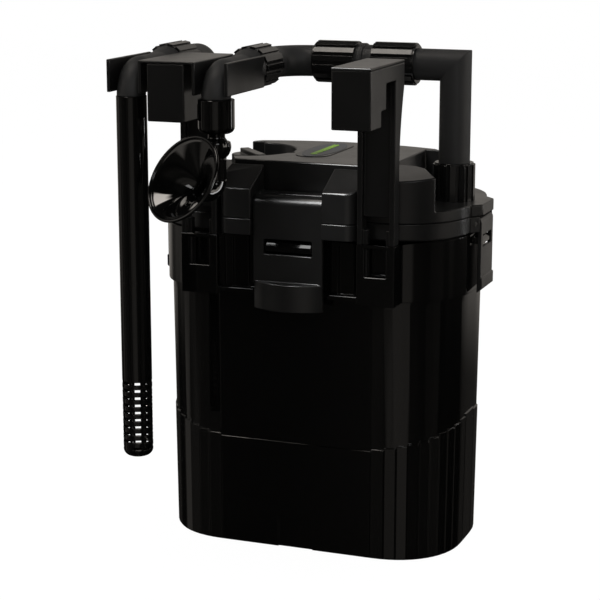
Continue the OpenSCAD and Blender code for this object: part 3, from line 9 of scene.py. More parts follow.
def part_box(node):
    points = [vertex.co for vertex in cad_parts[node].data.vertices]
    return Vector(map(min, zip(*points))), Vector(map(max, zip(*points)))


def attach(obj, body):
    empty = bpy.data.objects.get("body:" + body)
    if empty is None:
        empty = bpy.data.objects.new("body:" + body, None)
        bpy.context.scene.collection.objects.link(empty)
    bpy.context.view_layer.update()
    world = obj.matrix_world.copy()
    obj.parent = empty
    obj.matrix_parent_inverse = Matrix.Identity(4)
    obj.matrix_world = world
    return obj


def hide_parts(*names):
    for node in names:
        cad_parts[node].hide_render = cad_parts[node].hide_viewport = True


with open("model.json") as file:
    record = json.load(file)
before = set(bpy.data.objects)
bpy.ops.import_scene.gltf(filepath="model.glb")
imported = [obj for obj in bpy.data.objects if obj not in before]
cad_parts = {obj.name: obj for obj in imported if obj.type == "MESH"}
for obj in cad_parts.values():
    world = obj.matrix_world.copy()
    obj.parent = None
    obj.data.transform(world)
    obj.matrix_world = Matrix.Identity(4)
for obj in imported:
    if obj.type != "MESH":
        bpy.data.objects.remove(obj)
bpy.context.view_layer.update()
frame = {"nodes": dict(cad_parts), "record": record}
print("frame loaded")

cameraSettings = {
    "place": (0.3396, -0.9350, 0.3549),
    "turn": (77.31, 0, 20.83),
    "lens": 108.18,
    "sensor": 36,
    "clip": (0.05, 30),
}


def makeCamera(s):
    data = bpy.data.cameras.new("view")
    data.lens, data.sensor_width, data.sensor_fit = s["lens"], s["sensor"], "AUTO"
    data.clip_start, data.clip_end = s["clip"]
    cam = bpy.data.objects.new("view", data)
    cam.location = s["place"]
    cam.rotation_euler = [math.radians(a) for a in s["turn"]]
    bpy.context.scene.collection.objects.link(cam)
    bpy.context.scene.camera = cam


makeCamera(cameraSettings)
bpy.context.scene.view_settings.view_transform = "Standard"
print("camera set")


class Wire:
    # a node's output that can stand in a sum
    def __init__(self, tree, socket):
        self.tree, self.socket = tree, socket

    def also(self, name):
        # another output of the same node
        return Wire(self.tree, self.socket.node.outputs[name])

    def join(self, operation, other, turned=False):
        # one Math node, where turned puts the other value first
        node = self.tree.nodes.new("ShaderNodeMath")
        node.operation = operation
        pair = (other, self) if turned else (self, other)
        for socket, value in zip(node.inputs, pair):
            plug(self.tree, socket, value)
        return Wire(self.tree, node.outputs[0])

    def __add__(self, other):
        return self.join("ADD", other)

    def __sub__(self, other):
        return self.join("SUBTRACT", other)

    def __mul__(self, other):
        return self.join("MULTIPLY", other)

    def __truediv__(self, other):
        return self.join("DIVIDE", other)

    def __rsub__(self, other):
        return self.join("SUBTRACT", other, True)

    def __rtruediv__(self, other):
        return self.join("DIVIDE", other, True)

    def __gt__(self, other):
        return self.join("GREATER_THAN", other)

    __radd__ = __add__
    __rmul__ = __mul__


def plug(tree, socket, value):
    # a link from a Wire, and otherwise a constant
    if isinstance(value, Wire):
        tree.links.new(value.socket, socket)
    elif isinstance(value, tuple) and len(value) == 3 and socket.type == "RGBA":
        socket.default_value = (*value, 1)
    else:
        socket.default_value = value


def setStops(ramp, stops):
    while len(ramp.elements) < len(stops):
        ramp.elements.new(0.5)
    for element, (at, grey) in zip(ramp.elements, stops):
        element.position = at
        element.color = (grey, grey, grey, 1)


class Tree:
    # a node tree and the one way to add a node to it
    def __init__(self, tree):
        self.tree = tree

    def node(self, kind, settings=None, inputs=None, out=0):
        # gives the output asked for, or the node itself if it has none
        node = self.tree.nodes.new(kind)
        for name, value in (settings or {}).items():
            if name == "stops":
                setStops(node.color_ramp, value)
            elif name == "easing":
                node.color_ramp.interpolation = value
            else:
                setattr(node, name, value)
        for name, value in (inputs or {}).items():
            plug(self.tree, node.inputs[name], value)
        return Wire(self.tree, node.outputs[out]) if len(node.outputs) else node

    def blend(self, factor, one, two):
        return self.node("ShaderNodeMix", {"data_type": "RGBA"}, {0: factor, 6: one, 7: two}, 2)

    def rays(self):
        # 1 for a ray from the camera, a mirrored ray and a transmitted ray
        path = self.node("ShaderNodeLightPath")
        return [path.also("Is %s Ray" % kind) for kind in ("Camera", "Glossy", "Transmission")]


class Finish(Tree):
    # one material: a principled shader and the nodes that feed it
    def __init__(self, name, **fixed):
        self.material = bpy.data.materials.new(name)
        self.material.use_nodes = True
        super().__init__(self.material.node_tree)
        self.shader = self.tree.nodes["Principled BSDF"]
        self.place = self.node("ShaderNodeTexCoord", out="Object")
        self.set(**fixed)

    def set(self, **sockets):
        for name, value in sockets.items():
            plug(self.tree, self.shader.inputs[name.replace("_", " ")], value)

    def noise(self, scale, detail=3, rough=0.55, at=None):
        return self.node("ShaderNodeTexNoise", {}, {"Vector": at or self.place, "Scale": scale,
                                                    "Detail": detail, "Roughness": rough}, "Fac")

    def stretched(self, sizes, turn=(0, 0, 0)):
        return self.node("ShaderNodeMapping", {}, {"Vector": self.place, "Scale": sizes, "Rotation": turn})

    def ramp(self, value, stops):
        return self.node("ShaderNodeValToRGB", {"stops": stops}, {"Fac": value}, "Color")

    def above(self, value, start, full):
        # 0 up to start, 1 from full
        return self.ramp(value, [(start, 0.0), (full, 1.0)])

    def bump(self, height, depth):
        self.set(Normal=self.node("ShaderNodeBump", {}, {"Height": height, "Distance": depth,
                                                         "Strength": 1.0}, "Normal"))


skin = {  # what all the plastics share
    "ior": 1.5, "smudgeEdge": (0.42, 0.72), "speckScale": 2600, "speckEdge": (0.70, 0.76),
    "dust": (0.12, 0.115, 0.105), "dustRough": 0.15, "waveLength": 6,
}


def mouldedPlastic(name, s):
    # injected plastic: tone drifts a little, the skin has a fine grain, and fingers and dust dull it
    f = Finish(name, Metallic=0.0, IOR=skin["ior"])
    drift = f.noise(s["driftScale"], detail=2)
    grain = f.noise(s["grainScale"], detail=4, rough=0.6)
    handled = f.above(f.noise(s["smudgeScale"], detail=5, rough=0.65), *skin["smudgeEdge"])
    specks = f.above(f.noise(skin["speckScale"], detail=2, rough=0.5), *skin["speckEdge"])
    tone = f.blend(drift, s["dark"], s["light"])
    f.set(Base_Color=f.blend(specks * s["speck"], tone, skin["dust"]))
    f.set(Roughness=s["rough"] + handled * s["smudge"] + specks * skin["dustRough"]
          + grain * s["grainRough"])
    waves = f.noise(s["grainScale"] / skin["waveLength"], detail=2)
    f.bump(grain + waves * s["wave"], s["grainDepth"])
    return f.material


plastics = {
    "glossBlack": {"dark": (0.0010, 0.0010, 0.0010), "light": (0.0020, 0.0019, 0.0018), "driftScale": 9,
                   "grainScale": 420, "grainDepth": 0.000004, "grainRough": 0.015, "wave": 1.2,
                   "smudgeScale": 46, "rough": 0.035, "smudge": 0.05, "speck": 0.03},
    "mirrorBlack": {"dark": (0.0010, 0.0010, 0.0010), "light": (0.0016, 0.0016, 0.0016), "driftScale": 9,
                    "grainScale": 300, "grainDepth": 0.000002, "grainRough": 0.008, "wave": 1.0,
                    "smudgeScale": 60, "rough": 0.02, "smudge": 0.025, "speck": 0.02},
    "satinBlack": {"dark": (0.0026, 0.0026, 0.0026), "light": (0.0046, 0.0045, 0.0044), "driftScale": 14,
                   "grainScale": 2600, "grainDepth": 0.00002, "grainRough": 0.06, "wave": 0.4,
                   "smudgeScale": 60, "rough": 0.27, "smudge": 0.06, "speck": 0.04},
    "pipeGrey": {"dark": (0.0105, 0.0105, 0.0107), "light": (0.0145, 0.0143, 0.0141), "driftScale": 22,
                 "grainScale": 2800, "grainDepth": 0.00003, "grainRough": 0.08, "wave": 0.4,
                 "smudgeScale": 70, "rough": 0.50, "smudge": 0.06, "speck": 0.04},
    "nutBlack": {"dark": (0.0024, 0.0024, 0.0025), "light": (0.0040, 0.0039, 0.0038), "driftScale": 30,
                 "grainScale": 1800, "grainDepth": 0.000006, "grainRough": 0.03, "wave": 0.5,
                 "smudgeScale": 80, "rough": 0.19, "smudge": 0.05, "speck": 0.03},
    "padGrey": {"dark": (0.006, 0.006, 0.006), "light": (0.009, 0.009, 0.009), "driftScale": 40,
                "grainScale": 3200, "grainDepth": 0.00002, "grainRough": 0.06, "wave": 0.4,
                "smudgeScale": 90, "rough": 0.28, "smudge": 0.06, "speck": 0.03},
    "pumpGrey": {"dark": (0.055, 0.056, 0.06), "light": (0.085, 0.086, 0.09), "driftScale": 20,
                 "grainScale": 1500, "grainDepth": 0.00003, "grainRough": 0.10, "wave": 0.6,
                 "smudgeScale": 60, "rough": 0.38, "smudge": 0.10, "speck": 0.08},
    "epoxyBlack": {"dark": (0.010, 0.010, 0.011), "light": (0.018, 0.018, 0.02), "driftScale": 60,
                   "grainScale": 300, "grainDepth": 0.00004, "grainRough": 0.05, "wave": 1.5,
                   "smudgeScale": 120, "rough": 0.24, "smudge": 0.16, "speck": 0.06},
}


rubber = {
    "dark": (0.007, 0.007, 0.007), "light": (0.018, 0.018, 0.018), "pores": 3200, "poreRough": 0.2,
    "poreDepth": 0.00006, "bloom": 160, "bloomEdge": (0.45, 0.8), "rough": 0.62,
}


def sealRubber(s):
    # fine pores and a pale bloom
    f = Finish("sealRubber", Metallic=0.0, IOR=1.5)
    pores = f.noise(s["pores"], detail=3, rough=0.7)
    bloom = f.above(f.noise(s["bloom"], detail=4), *s["bloomEdge"])
    f.set(Base_Color=f.blend(bloom, s["dark"], s["light"]), Roughness=s["rough"] + pores * s["poreRough"])
    f.bump(pores, s["poreDepth"])
    return f.material


steel = {
    "bright": (0.58, 0.57, 0.55), "dull": (0.36, 0.35, 0.33), "marks": (400, 400, 9000), "markRough": 0.18,
    "markDepth": 0.00002, "tarnish": 260, "tarnishEdge": (0.4, 0.75), "tarnishRough": 0.1, "rough": 0.24,
}


def turnedSteel(s):
    # fine rings from the lathe and a little tarnish
    f = Finish("turnedSteel", Metallic=1.0)
    marks = f.noise(1.0, detail=3, rough=0.6, at=f.stretched(s["marks"]))
    tarnish = f.above(f.noise(s["tarnish"], detail=4), *s["tarnishEdge"])
    f.set(Base_Color=f.blend(tarnish, s["bright"], s["dull"]),
          Roughness=s["rough"] + marks * s["markRough"] + tarnish * s["tarnishRough"])
    f.bump(marks, s["markDepth"])
    return f.material


ceramic = {
    "pale": (0.80, 0.77, 0.70), "stainAndShade": (0.58, 0.52, 0.44), "pores": 1400, "poreEdge": (0.18, 0.42),
    "poreDepth": 0.00025, "stainsAndPoreShade": 300, "stainShare": 0.7, "rough": 0.72, "smooth": 0.1,
}


def firedCeramic(s):
    # round pores, random stains, and painted shade that darkens the pores
    f = Finish("firedCeramic", Metallic=0.0, IOR=1.55)
    pores = f.node("ShaderNodeTexVoronoi", {"feature": "F1"},
                   {"Vector": f.place, "Scale": s["pores"]}, "Distance")
    between = f.above(pores, *s["poreEdge"])
    # painted shade: the pores get the share the random stains leave, so they darken as well as stain
    stainsAndPoreShade = f.noise(s["stainsAndPoreShade"]) * s["stainShare"] + (1 - between) * (1 - s["stainShare"])
    f.set(Base_Color=f.blend(stainsAndPoreShade, s["pale"], s["stainAndShade"]), Roughness=s["rough"] - between * s["smooth"])
    f.bump(between, s["poreDepth"])
    return f.material


magnet = {
    "dark": (0.012, 0.012, 0.013), "light": (0.035, 0.034, 0.035), "crumbs": 2400, "crumbRough": 0.2,
    "crumbDepth": 0.00006, "rough": 0.5,
}


def bondedMagnet(s):
    # magnet powder in a binder
    f = Finish("bondedMagnet", Metallic=0.1)
    crumbs = f.noise(s["crumbs"], detail=4, rough=0.7)
    f.set(Base_Color=f.blend(crumbs, s["dark"], s["light"]),
          Roughness=s["rough"] + crumbs * s["crumbRough"])
    f.bump(crumbs, s["crumbDepth"])
    return f.material


struts = {  # what both foams share
    "full": 0.05, "gone": 0.22, "share": 0.8, "tint": 35, "rough": 0.92, "smooth": 0.1,
}
foams = {
    # deep is painted shade seen through the open windows, strut is the foam's own colour
    "blueFoam": {"cells": 420, "depth": 0.0010, "deep": (0.004, 0.012, 0.035),
                 "strut": (0.03, 0.11, 0.30)},
    "darkFoam": {"cells": 900, "depth": 0.0005, "deep": (0.006, 0.006, 0.007),
                 "strut": (0.045, 0.047, 0.05)},
}


def openFoam(name, s):
    # reticulated foam: cells with bright struts, and painted shade for the depth seen through the windows
    # between them
    f = Finish(name, Metallic=0.0, IOR=1.45)
    cells = f.node("ShaderNodeTexVoronoi", {"feature": "DISTANCE_TO_EDGE"},
                   {"Vector": f.place, "Scale": s["cells"]}, "Distance")
    strut = f.ramp(cells, [(struts["full"], 1.0), (struts["gone"], 0.0)])
    mixed = strut * struts["share"] + f.noise(struts["tint"]) * (1 - struts["share"])
    # painted shade: away from the struts the colour falls to the dark deep colour
    f.set(Base_Color=f.blend(mixed, s["deep"], s["strut"]),
          Roughness=struts["rough"] - strut * struts["smooth"])
    f.bump(strut, s["depth"])
    return f.material


floss = {
    "gapShade": (0.55, 0.55, 0.52), "white": (0.88, 0.88, 0.85), "across": (2600, 260, 900), "acrossTurn": 0.4,
    "along": (260, 2400, 900), "alongTurn": -0.3, "fibreEdge": (0.40, 0.62), "fibreRough": 0.08,
    "fibreDepth": 0.0004, "rough": 0.85,
}


def fibreFloss(s):
    # two layers of fibres that cross, with painted shade in the gaps between them
    f = Finish("fibreFloss", Metallic=0.0, IOR=1.45)
    across = f.noise(1.0, detail=5, rough=0.7, at=f.stretched(s["across"], (0, 0, s["acrossTurn"])))
    along = f.noise(1.0, detail=5, rough=0.7, at=f.stretched(s["along"], (0, 0, s["alongTurn"])))
    fibres = f.above((across + along) / 2, *s["fibreEdge"])
    # painted shade: where no fibre lies on top the white floss is greyed
    f.set(Base_Color=f.blend(fibres, s["gapShade"], s["white"]),
          Roughness=s["rough"] + fibres * s["fibreRough"])
    f.bump(fibres, s["fibreDepth"])
    return f.material


finishes = {name: mouldedPlastic(name, s) for name, s in plastics.items()}
finishes.update({name: openFoam(name, s) for name, s in foams.items()})
finishes["sealRubber"] = sealRubber(rubber)
finishes["turnedSteel"] = turnedSteel(steel)
finishes["firedCeramic"] = firedCeramic(ceramic)
finishes["bondedMagnet"] = bondedMagnet(magnet)
finishes["fibreFloss"] = fibreFloss(floss)
print("finishes made")

slotFinish = {
    "gloss_black": "glossBlack", "satin_black": "satinBlack", "pipe_grey": "pipeGrey",
    "nut_black": "nutBlack", "rubber": "sealRubber", "pad_grey": "padGrey", "steel": "turnedSteel",
    "epoxy": "epoxyBlack", "ceramic": "firedCeramic", "pump_grey": "pumpGrey", "magnet": "bondedMagnet",
    "sponge_blue": "blueFoam", "sponge_dark": "darkFoam", "floss_white": "fibreFloss",
}
nodeSlot = {part["node"]: part["material_slot"] for part in frame["record"]["subparts"]}
nodeBody = {n: body for body, members in frame["record"]["behaviour"]["bodies"].items() for n in members}
skins = {}  # the piece that stands for each replaced node


def finishNode(node):
    # a CAD node that stays as it is gets its finish
    mesh = frame["nodes"][node].data
    mesh.materials.clear()
    mesh.materials.append(finishes[slotFinish[nodeSlot[node]]])


def place(mesh, name, body, slot, replaces=(), finish=None):
    # a finished piece that rides on a body and stands for the nodes it replaces
    piece = bpy.data.objects.new(name, mesh)
    bpy.context.scene.collection.objects.link(piece)
    mesh.materials.clear()
    mesh.materials.append(finishes[finish or slotFinish[slot]])
    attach(piece, body)
    if replaces:
        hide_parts(*replaces)
        skins.update({node: piece for node in replaces})
    return piece


def placeFor(node, mesh, name, finish=None):
    # a piece that takes over one node's body and slot
    return place(mesh, name, nodeBody[node], nodeSlot[node], (node,), finish)


def asMesh(bm, name):
    mesh = bpy.data.meshes.new(name)
    bm.to_mesh(mesh)
    bm.free()
    return mesh


joining = {"near": 2e-6, "flat": 0.06}  # metres between doubles, degrees between faces that become one


def merged(node):
    # a copy of the node's triangles as one skin, with flat faces joined
    bm = bmesh.new()
    bm.from_mesh(frame["nodes"][node].data)
    bmesh.ops.remove_doubles(bm, verts=bm.verts, dist=joining["near"])
    bmesh.ops.dissolve_limit(bm, angle_limit=math.radians(joining["flat"]), verts=bm.verts, edges=bm.edges)
    return bm


def holderFor(mesh):
    # an object that only carries modifiers for a while
    holder = bpy.data.objects.new("holder", mesh)
    bpy.context.scene.collection.objects.link(holder)
    return holder


def released(holder):
    # the holder's mesh with its modifiers applied, after which the holder goes
    done = bpy.data.meshes.new_from_object(holder.evaluated_get(bpy.context.evaluated_depsgraph_get()))
    holder.modifiers.clear()
    bpy.data.objects.remove(holder)
    return done


def applied(mesh, *steps):
    # the mesh after these modifiers, each a kind and its settings
    holder = holderFor(mesh)
    for kind, settings in steps:
        step = holder.modifiers.new(kind.lower(), kind)
        for name, value in settings.items():
            setattr(step, name, value)
    return released(holder)


def markSharp(bm, angle):
    # all faces smooth, and the edges from this angle sharp
    for face in bm.faces:
        face.smooth = True
    for edge in bm.edges:
        edge.smooth = len(edge.link_faces) == 2 and edge.calc_face_angle(0) < angle


def cutRings(bm, low, high, count):
    # level rings of edges, so that a tall drafted wall shades evenly
    for k in range(count):
        cut = Vector((0, 0, low + (high - low) * k / (count - 1)))
        every = bm.verts[:] + bm.edges[:] + bm.faces[:]
        bmesh.ops.bisect_plane(bm, geom=every, plane_co=cut, plane_no=(0, 0, 1))


wallRings = {"canister": (0.060, 0.160, 21)}  # lowest, highest, count
rounding = {
    "angle": 32,  # edges from this many degrees are rounded
    "segments": 2,
    "weight": 80,  # how much the large faces set the shading
}


def softened(node, width, s):
    # the node's own solid with its moulded edges rounded
    bm = merged(node)
    if node in wallRings:
        cutRings(bm, *wallRings[node])
    angle = math.radians(s["angle"])
    markSharp(bm, angle)
    bevel = {"width": width, "segments": s["segments"], "limit_method": "ANGLE", "angle_limit": angle,
             "use_clamp_overlap": False, "miter_outer": "MITER_ARC"}
    normals = {"mode": "FACE_AREA", "weight": s["weight"], "keep_sharp": True}
    mesh = applied(asMesh(bm, node + "_moulded"), ("BEVEL", bevel), ("WEIGHTED_NORMAL", normals))
    placeFor(node, mesh, node + "_moulded")


edgeSettings = {  # edge radius in metres by node
    "canister": 0.0003, "collar": 0.0004, "head_base": 0.00035, "head_cover": 0.0007, "label_pad": 0.0003,
    "front_latch": 0.0005, "right_latch": 0.0004, "left_latch": 0.0004, "rear_latch": 0.0004,
    "flow_lever": 0.0005, "hanger_right": 0.0006, "hanger_left": 0.0006, "hanger_cap": 0.0004,
    "pipe_holder": 0.0005, "intake_head_nut": 0.00012, "outlet_head_nut": 0.00012, "intake_run_nut": 0.00012,
    "outlet_run_nut": 0.00012, "union_nut_right": 0.00012, "union_nut_left": 0.00012, "union_body": 0.0003,
    "intake_riser": 0.0003, "outlet_riser": 0.0003, "outlet_bend": 0.0003, "intake_elbow": 0.0004,
    "outlet_elbow": 0.0004, "intake_tube": 0.0002, "strainer": 0.0002, "swivel_sleeve": 0.0004,
    "nozzle_socket": 0.0003, "cord_gland": 0.0004,
}
for node, width in edgeSettings.items():
    softened(node, width, rounding)
print("moulded parts rounded")

trumpet = {
    "axis": (-0.0255, -0.095, 0.2292), "heading": -116, "turn": 120, "bend": 0.006, "drop": 0.01698,
    "neck": 0.0049, "mouth": 0.02365, "flare": 0.016, "growth": 1.7, "wall": 0.0013,
    # the lip: its radius, how far it stands out, and its arc in degrees
    "bead": 0.00085, "beadOut": 0.0003, "beadStart": -50, "beadArc": 230,
    # how far the lip's middle and the walls' ends are from the mouth, in radii of the lip
    "beadBack": 0.3, "flareStop": 0.5,
    "sides": 96, "bendSteps": 16, "flareSteps": 28, "beadSteps": 12,
}


def makeTrumpet(s):
    # neck, bend and flare swept as rings, out along the outer face and back along the inner one
    x0, y0, z0 = s["axis"]
    heading = math.radians(s["heading"])
    full = math.radians(s["turn"])

    def ring(turn, along, radius):
        points = []
        for k in range(s["sides"]):
            b = math.tau * k / s["sides"]
            reach, side = radius * math.cos(b), radius * math.sin(b)
            out = s["bend"] * (1 - math.cos(turn)) + along * math.sin(turn) + reach * math.cos(turn)
            down = -s["drop"] - s["bend"] * math.sin(turn) - along * math.cos(turn)
            points.append((x0 + out * math.cos(heading) - side * math.sin(heading),
                           y0 + out * math.sin(heading) + side * math.cos(heading),
                           z0 + down + reach * math.sin(turn)))
        return points

    def wall(inset):
        bends = [ring(full * k / s["bendSteps"], 0, s["neck"] - inset) for k in range(s["bendSteps"])]
        widening = s["mouth"] - s["neck"]
        span = s["flare"] - s["bead"] * s["flareStop"]
        flares = []
        for k in range(s["flareSteps"] + 1):
            u = span * k / s["flareSteps"]
            flares.append(ring(full, u, s["neck"] + widening * (u / s["flare"]) ** s["growth"] - inset))
        return bends + flares

    middle = s["mouth"] + s["beadOut"] - s["bead"]
    lip = []
    for k in range(s["beadSteps"] + 1):
        a = math.radians(s["beadStart"] + s["beadArc"] * k / s["beadSteps"])
        along = s["flare"] - s["bead"] * s["beadBack"] + s["bead"] * math.sin(a)
        lip.append(ring(full, along, middle + s["bead"] * math.cos(a)))
    rings = wall(0) + lip + wall(s["wall"])[::-1]
    bm = bmesh.new()
    grid = [[bm.verts.new(p) for p in points] for points in rings]
    for k, row in enumerate(grid):
        after = grid[(k + 1) % len(grid)]
        for i in range(s["sides"]):
            j = (i + 1) % s["sides"]
            bm.faces.new((row[i], row[j], after[j], after[i])).smooth = True
    bmesh.ops.recalc_face_normals(bm, faces=bm.faces)
    placeFor("trumpet_nozzle", asMesh(bm, "trumpet_flare"), "trumpet_flare", "mirrorBlack")


makeTrumpet(trumpet)
print("trumpet swept")

softParts = {"coarse_sponge": 0.0012, "fine_sponge": 0.0008, "fine_floss": 0.0010}  # depth of the ripples
foam = {
    "voxel": 0.0024, "smoothing": 0.5, "passes": 4, "fill": 0.9,
    # ripples: radians per metre and start along x and along y, radians per metre of a slanting wave
    "alongX": (310, 1.3), "alongY": (270, 0.4), "slant": (120, -90), "mean": 0.25, "swing": 0.125,
}


def foamPad(node, depth, s):
    # a cut foam sheet: rounded edges and a surface that gives a little
    remesh = {"mode": "VOXEL", "voxel_size": s["voxel"], "adaptivity": 0}
    smooth = {"factor": s["smoothing"], "iterations": s["passes"]}
    mesh = applied(asMesh(merged(node), node + "_foam"), ("REMESH", remesh), ("SMOOTH", smooth))
    (fastX, startX), (fastY, startY), (slantX, slantY) = s["alongX"], s["alongY"], s["slant"]
    for v in mesh.vertices:
        x, y = v.co.xy
        ripple = math.sin(x * fastX + startX) * math.sin(y * fastY + startY)
        ripple += math.sin(x * slantX + y * slantY)
        v.co -= v.normal * depth * (s["mean"] + s["swing"] * ripple)
    mesh.polygons.foreach_set("use_smooth", [True] * len(mesh.polygons))
    placeFor(node, mesh, node + "_foam")


for node, depth in softParts.items():
    foamPad(node, depth, foam)
print("foam made")


class Graph(Tree):
    # a geometry node tree with named sizes, closed by Realize Instances and Set Material
    def __init__(self, name, sizes):
        super().__init__(bpy.data.node_groups.new(name, "GeometryNodeTree"))
        face = self.tree.interface
        face.new_socket("Geometry", in_out="OUTPUT", socket_type="NodeSocketGeometry")
        for label, value in sizes.items():
            kind = "NodeSocketInt" if isinstance(value, int) else "NodeSocketFloat"
            face.new_socket(label, in_out="INPUT", socket_type=kind).default_value = value
        face.new_socket("Finish", in_out="INPUT", socket_type="NodeSocketMaterial")
        self.given = self.node("NodeGroupInput")
        self.done = self.node("NodeGroupOutput")

    def size(self, label):
        return self.given.also(label)

    def close(self, geometry):
        solid = self.node("GeometryNodeRealizeInstances", {}, {"Geometry": geometry})
        shaded = self.node("GeometryNodeSetShadeSmooth", {}, {"Geometry": solid, "Shade Smooth": True})
        painted = self.node("GeometryNodeSetMaterial", {},
                            {"Geometry": shaded, "Material": self.size("Finish")})
        plug(self.tree, self.done.inputs["Geometry"], painted)
        return self.tree


def grow(tree, name, sizes, node):
    # runs a tree with these sizes and keeps the result as a plain mesh that stands for the node
    holder = holderFor(bpy.data.meshes.new("holder"))
    grown = holder.modifiers.new("grow", "NODES")
    grown.node_group = tree
    given = dict(sizes, Finish=finishes[slotFinish[nodeSlot[node]]])
    for item in tree.interface.items_tree:
        if item.in_out == "INPUT" and item.name in given:
            grown[item.identifier] = given[item.name]
    mesh = released(holder)
    mesh.name = name
    return placeFor(node, mesh, name)


ringBed = {
    "Across": 6, "Deep": 3, "Pitch": 0.0135, "Radius": 0.006, "Bore": 0.003, "Tall": 0.014,
    "Edge": 0.0006, "Sides": 40, "Steps": 3, "Seed": 7,
}


def ringBedTree(sizes):
    # short ceramic tubes on a grid, each turned a little about its own axis
    g = Graph("ringBed", sizes)
    wall = g.size("Radius") - g.size("Bore")
    wide = (g.size("Across") - 1) * g.size("Pitch")
    deep = (g.size("Deep") - 1) * g.size("Pitch")
    spots = g.node("GeometryNodeMeshGrid", {},
                   {"Size X": wide, "Size Y": deep,
                    "Vertices X": g.size("Across"), "Vertices Y": g.size("Deep")})
    middle = g.node("GeometryNodeCurvePrimitiveCircle", {},
                    {"Resolution": g.size("Sides"), "Radius": g.size("Bore") + wall / 2})
    section = g.node("GeometryNodeCurvePrimitiveQuadrilateral", {},
                     {"Width": wall, "Height": g.size("Tall")})
    eased = g.node("GeometryNodeFilletCurve", {"mode": "POLY"},
                   {"Curve": section, "Count": g.size("Steps"), "Radius": g.size("Edge")})
    tube = g.node("GeometryNodeCurveToMesh", {}, {"Curve": middle, "Profile Curve": eased})
    turn = g.node("FunctionNodeRandomValue", {"data_type": "FLOAT"},
                  {"Max": math.tau, "Seed": g.size("Seed")}, 1)
    spin = g.node("ShaderNodeCombineXYZ", {}, {"Z": turn})
    rings = g.node("GeometryNodeInstanceOnPoints", {},
                   {"Points": spots, "Instance": tube, "Rotation": spin})
    return g.close(rings)


def makeRings(sizes):
    # the bed is grown round the origin, then moved to the middle of the solid it replaces
    low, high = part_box("ceramic_rings")
    piece = grow(ringBedTree(sizes), "ceramic_ring_bed", sizes, "ceramic_rings")
    piece.data.transform(Matrix.Translation((low + high) / 2))


makeRings(ringBed)
print("ring bed grown")

padInlay = {
    "ovalLong": 0.054, "ovalWide": 0.0186, "ovalThick": 0.00015, "ovalSink": 0.0001,
    "slate": (0.020, 0.028, 0.040), "slateRough": 0.30,
    "stripeLong": 0.040, "stripeWide": 0.0036, "stripeThick": 0.0003,
    "green": (0.20, 0.42, 0.012), "greenRough": 0.34, "sides": 64,
}
film = {"wear": 1400, "kept": 0.7, "wearRough": 0.12, "wearDepth": 0.00002}  # kept: of the colour


def plate(name, outline, low, high, finish):
    # a thin flat plate on the inlay with this outline
    bm = bmesh.new()
    for z in (low, high):
        bm.faces.new([bm.verts.new((x, y, z)) for x, y in outline])
    bm.verts.ensure_lookup_table()
    count = len(outline)
    for k in range(count):
        n = (k + 1) % count
        bm.faces.new([bm.verts[k], bm.verts[n], bm.verts[count + n], bm.verts[count + k]])
    bmesh.ops.recalc_face_normals(bm, faces=bm.faces)
    place(asMesh(bm, name), name, nodeBody["label_pad"], nodeSlot["label_pad"], (), finish)


def filmFinish(name, tone, rough, s):
    # a thin film whose colour wears a little
    f = Finish(name, Metallic=0.0, IOR=1.5, Specular_IOR_Level=0.2)
    wear = f.noise(s["wear"], detail=4, rough=0.6)
    f.set(Base_Color=f.blend(wear, tone, tuple(c * s["kept"] for c in tone)),
          Roughness=rough + wear * s["wearRough"])
    f.bump(wear, s["wearDepth"])
    finishes[name] = f.material


def makePadInlay(s):
    # an oval film and a plain stripe on the top inlay
    low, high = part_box("label_pad")
    mid = (low + high) / 2
    filmFinish("inlaySlate", s["slate"], s["slateRough"], film)
    filmFinish("stripeGreen", s["green"], s["greenRough"], film)
    turns = [math.tau * k / s["sides"] for k in range(s["sides"])]
    oval = [(mid.x + s["ovalWide"] / 2 * math.cos(a), mid.y + s["ovalLong"] / 2 * math.sin(a))
            for a in turns]
    plate("pad_oval", oval, high.z - s["ovalSink"], high.z + s["ovalThick"], "inlaySlate")
    radius = s["stripeWide"] / 2
    half = s["stripeLong"] / 2 - radius
    bar = []
    for k, a in enumerate(turns):
        end = half if 2 * k < s["sides"] else -half  # two half circles, one at each end
        bar.append((mid.x + radius * math.cos(a), mid.y + radius * math.sin(a) + end))
    plate("pad_stripe", bar, high.z, high.z + s["stripeThick"], "stripeGreen")


makePadInlay(padInlay)
print("pad finished")

for node in sorted(frame["nodes"]):
    if node not in skins:
        finishNode(node)
print("other nodes finished")

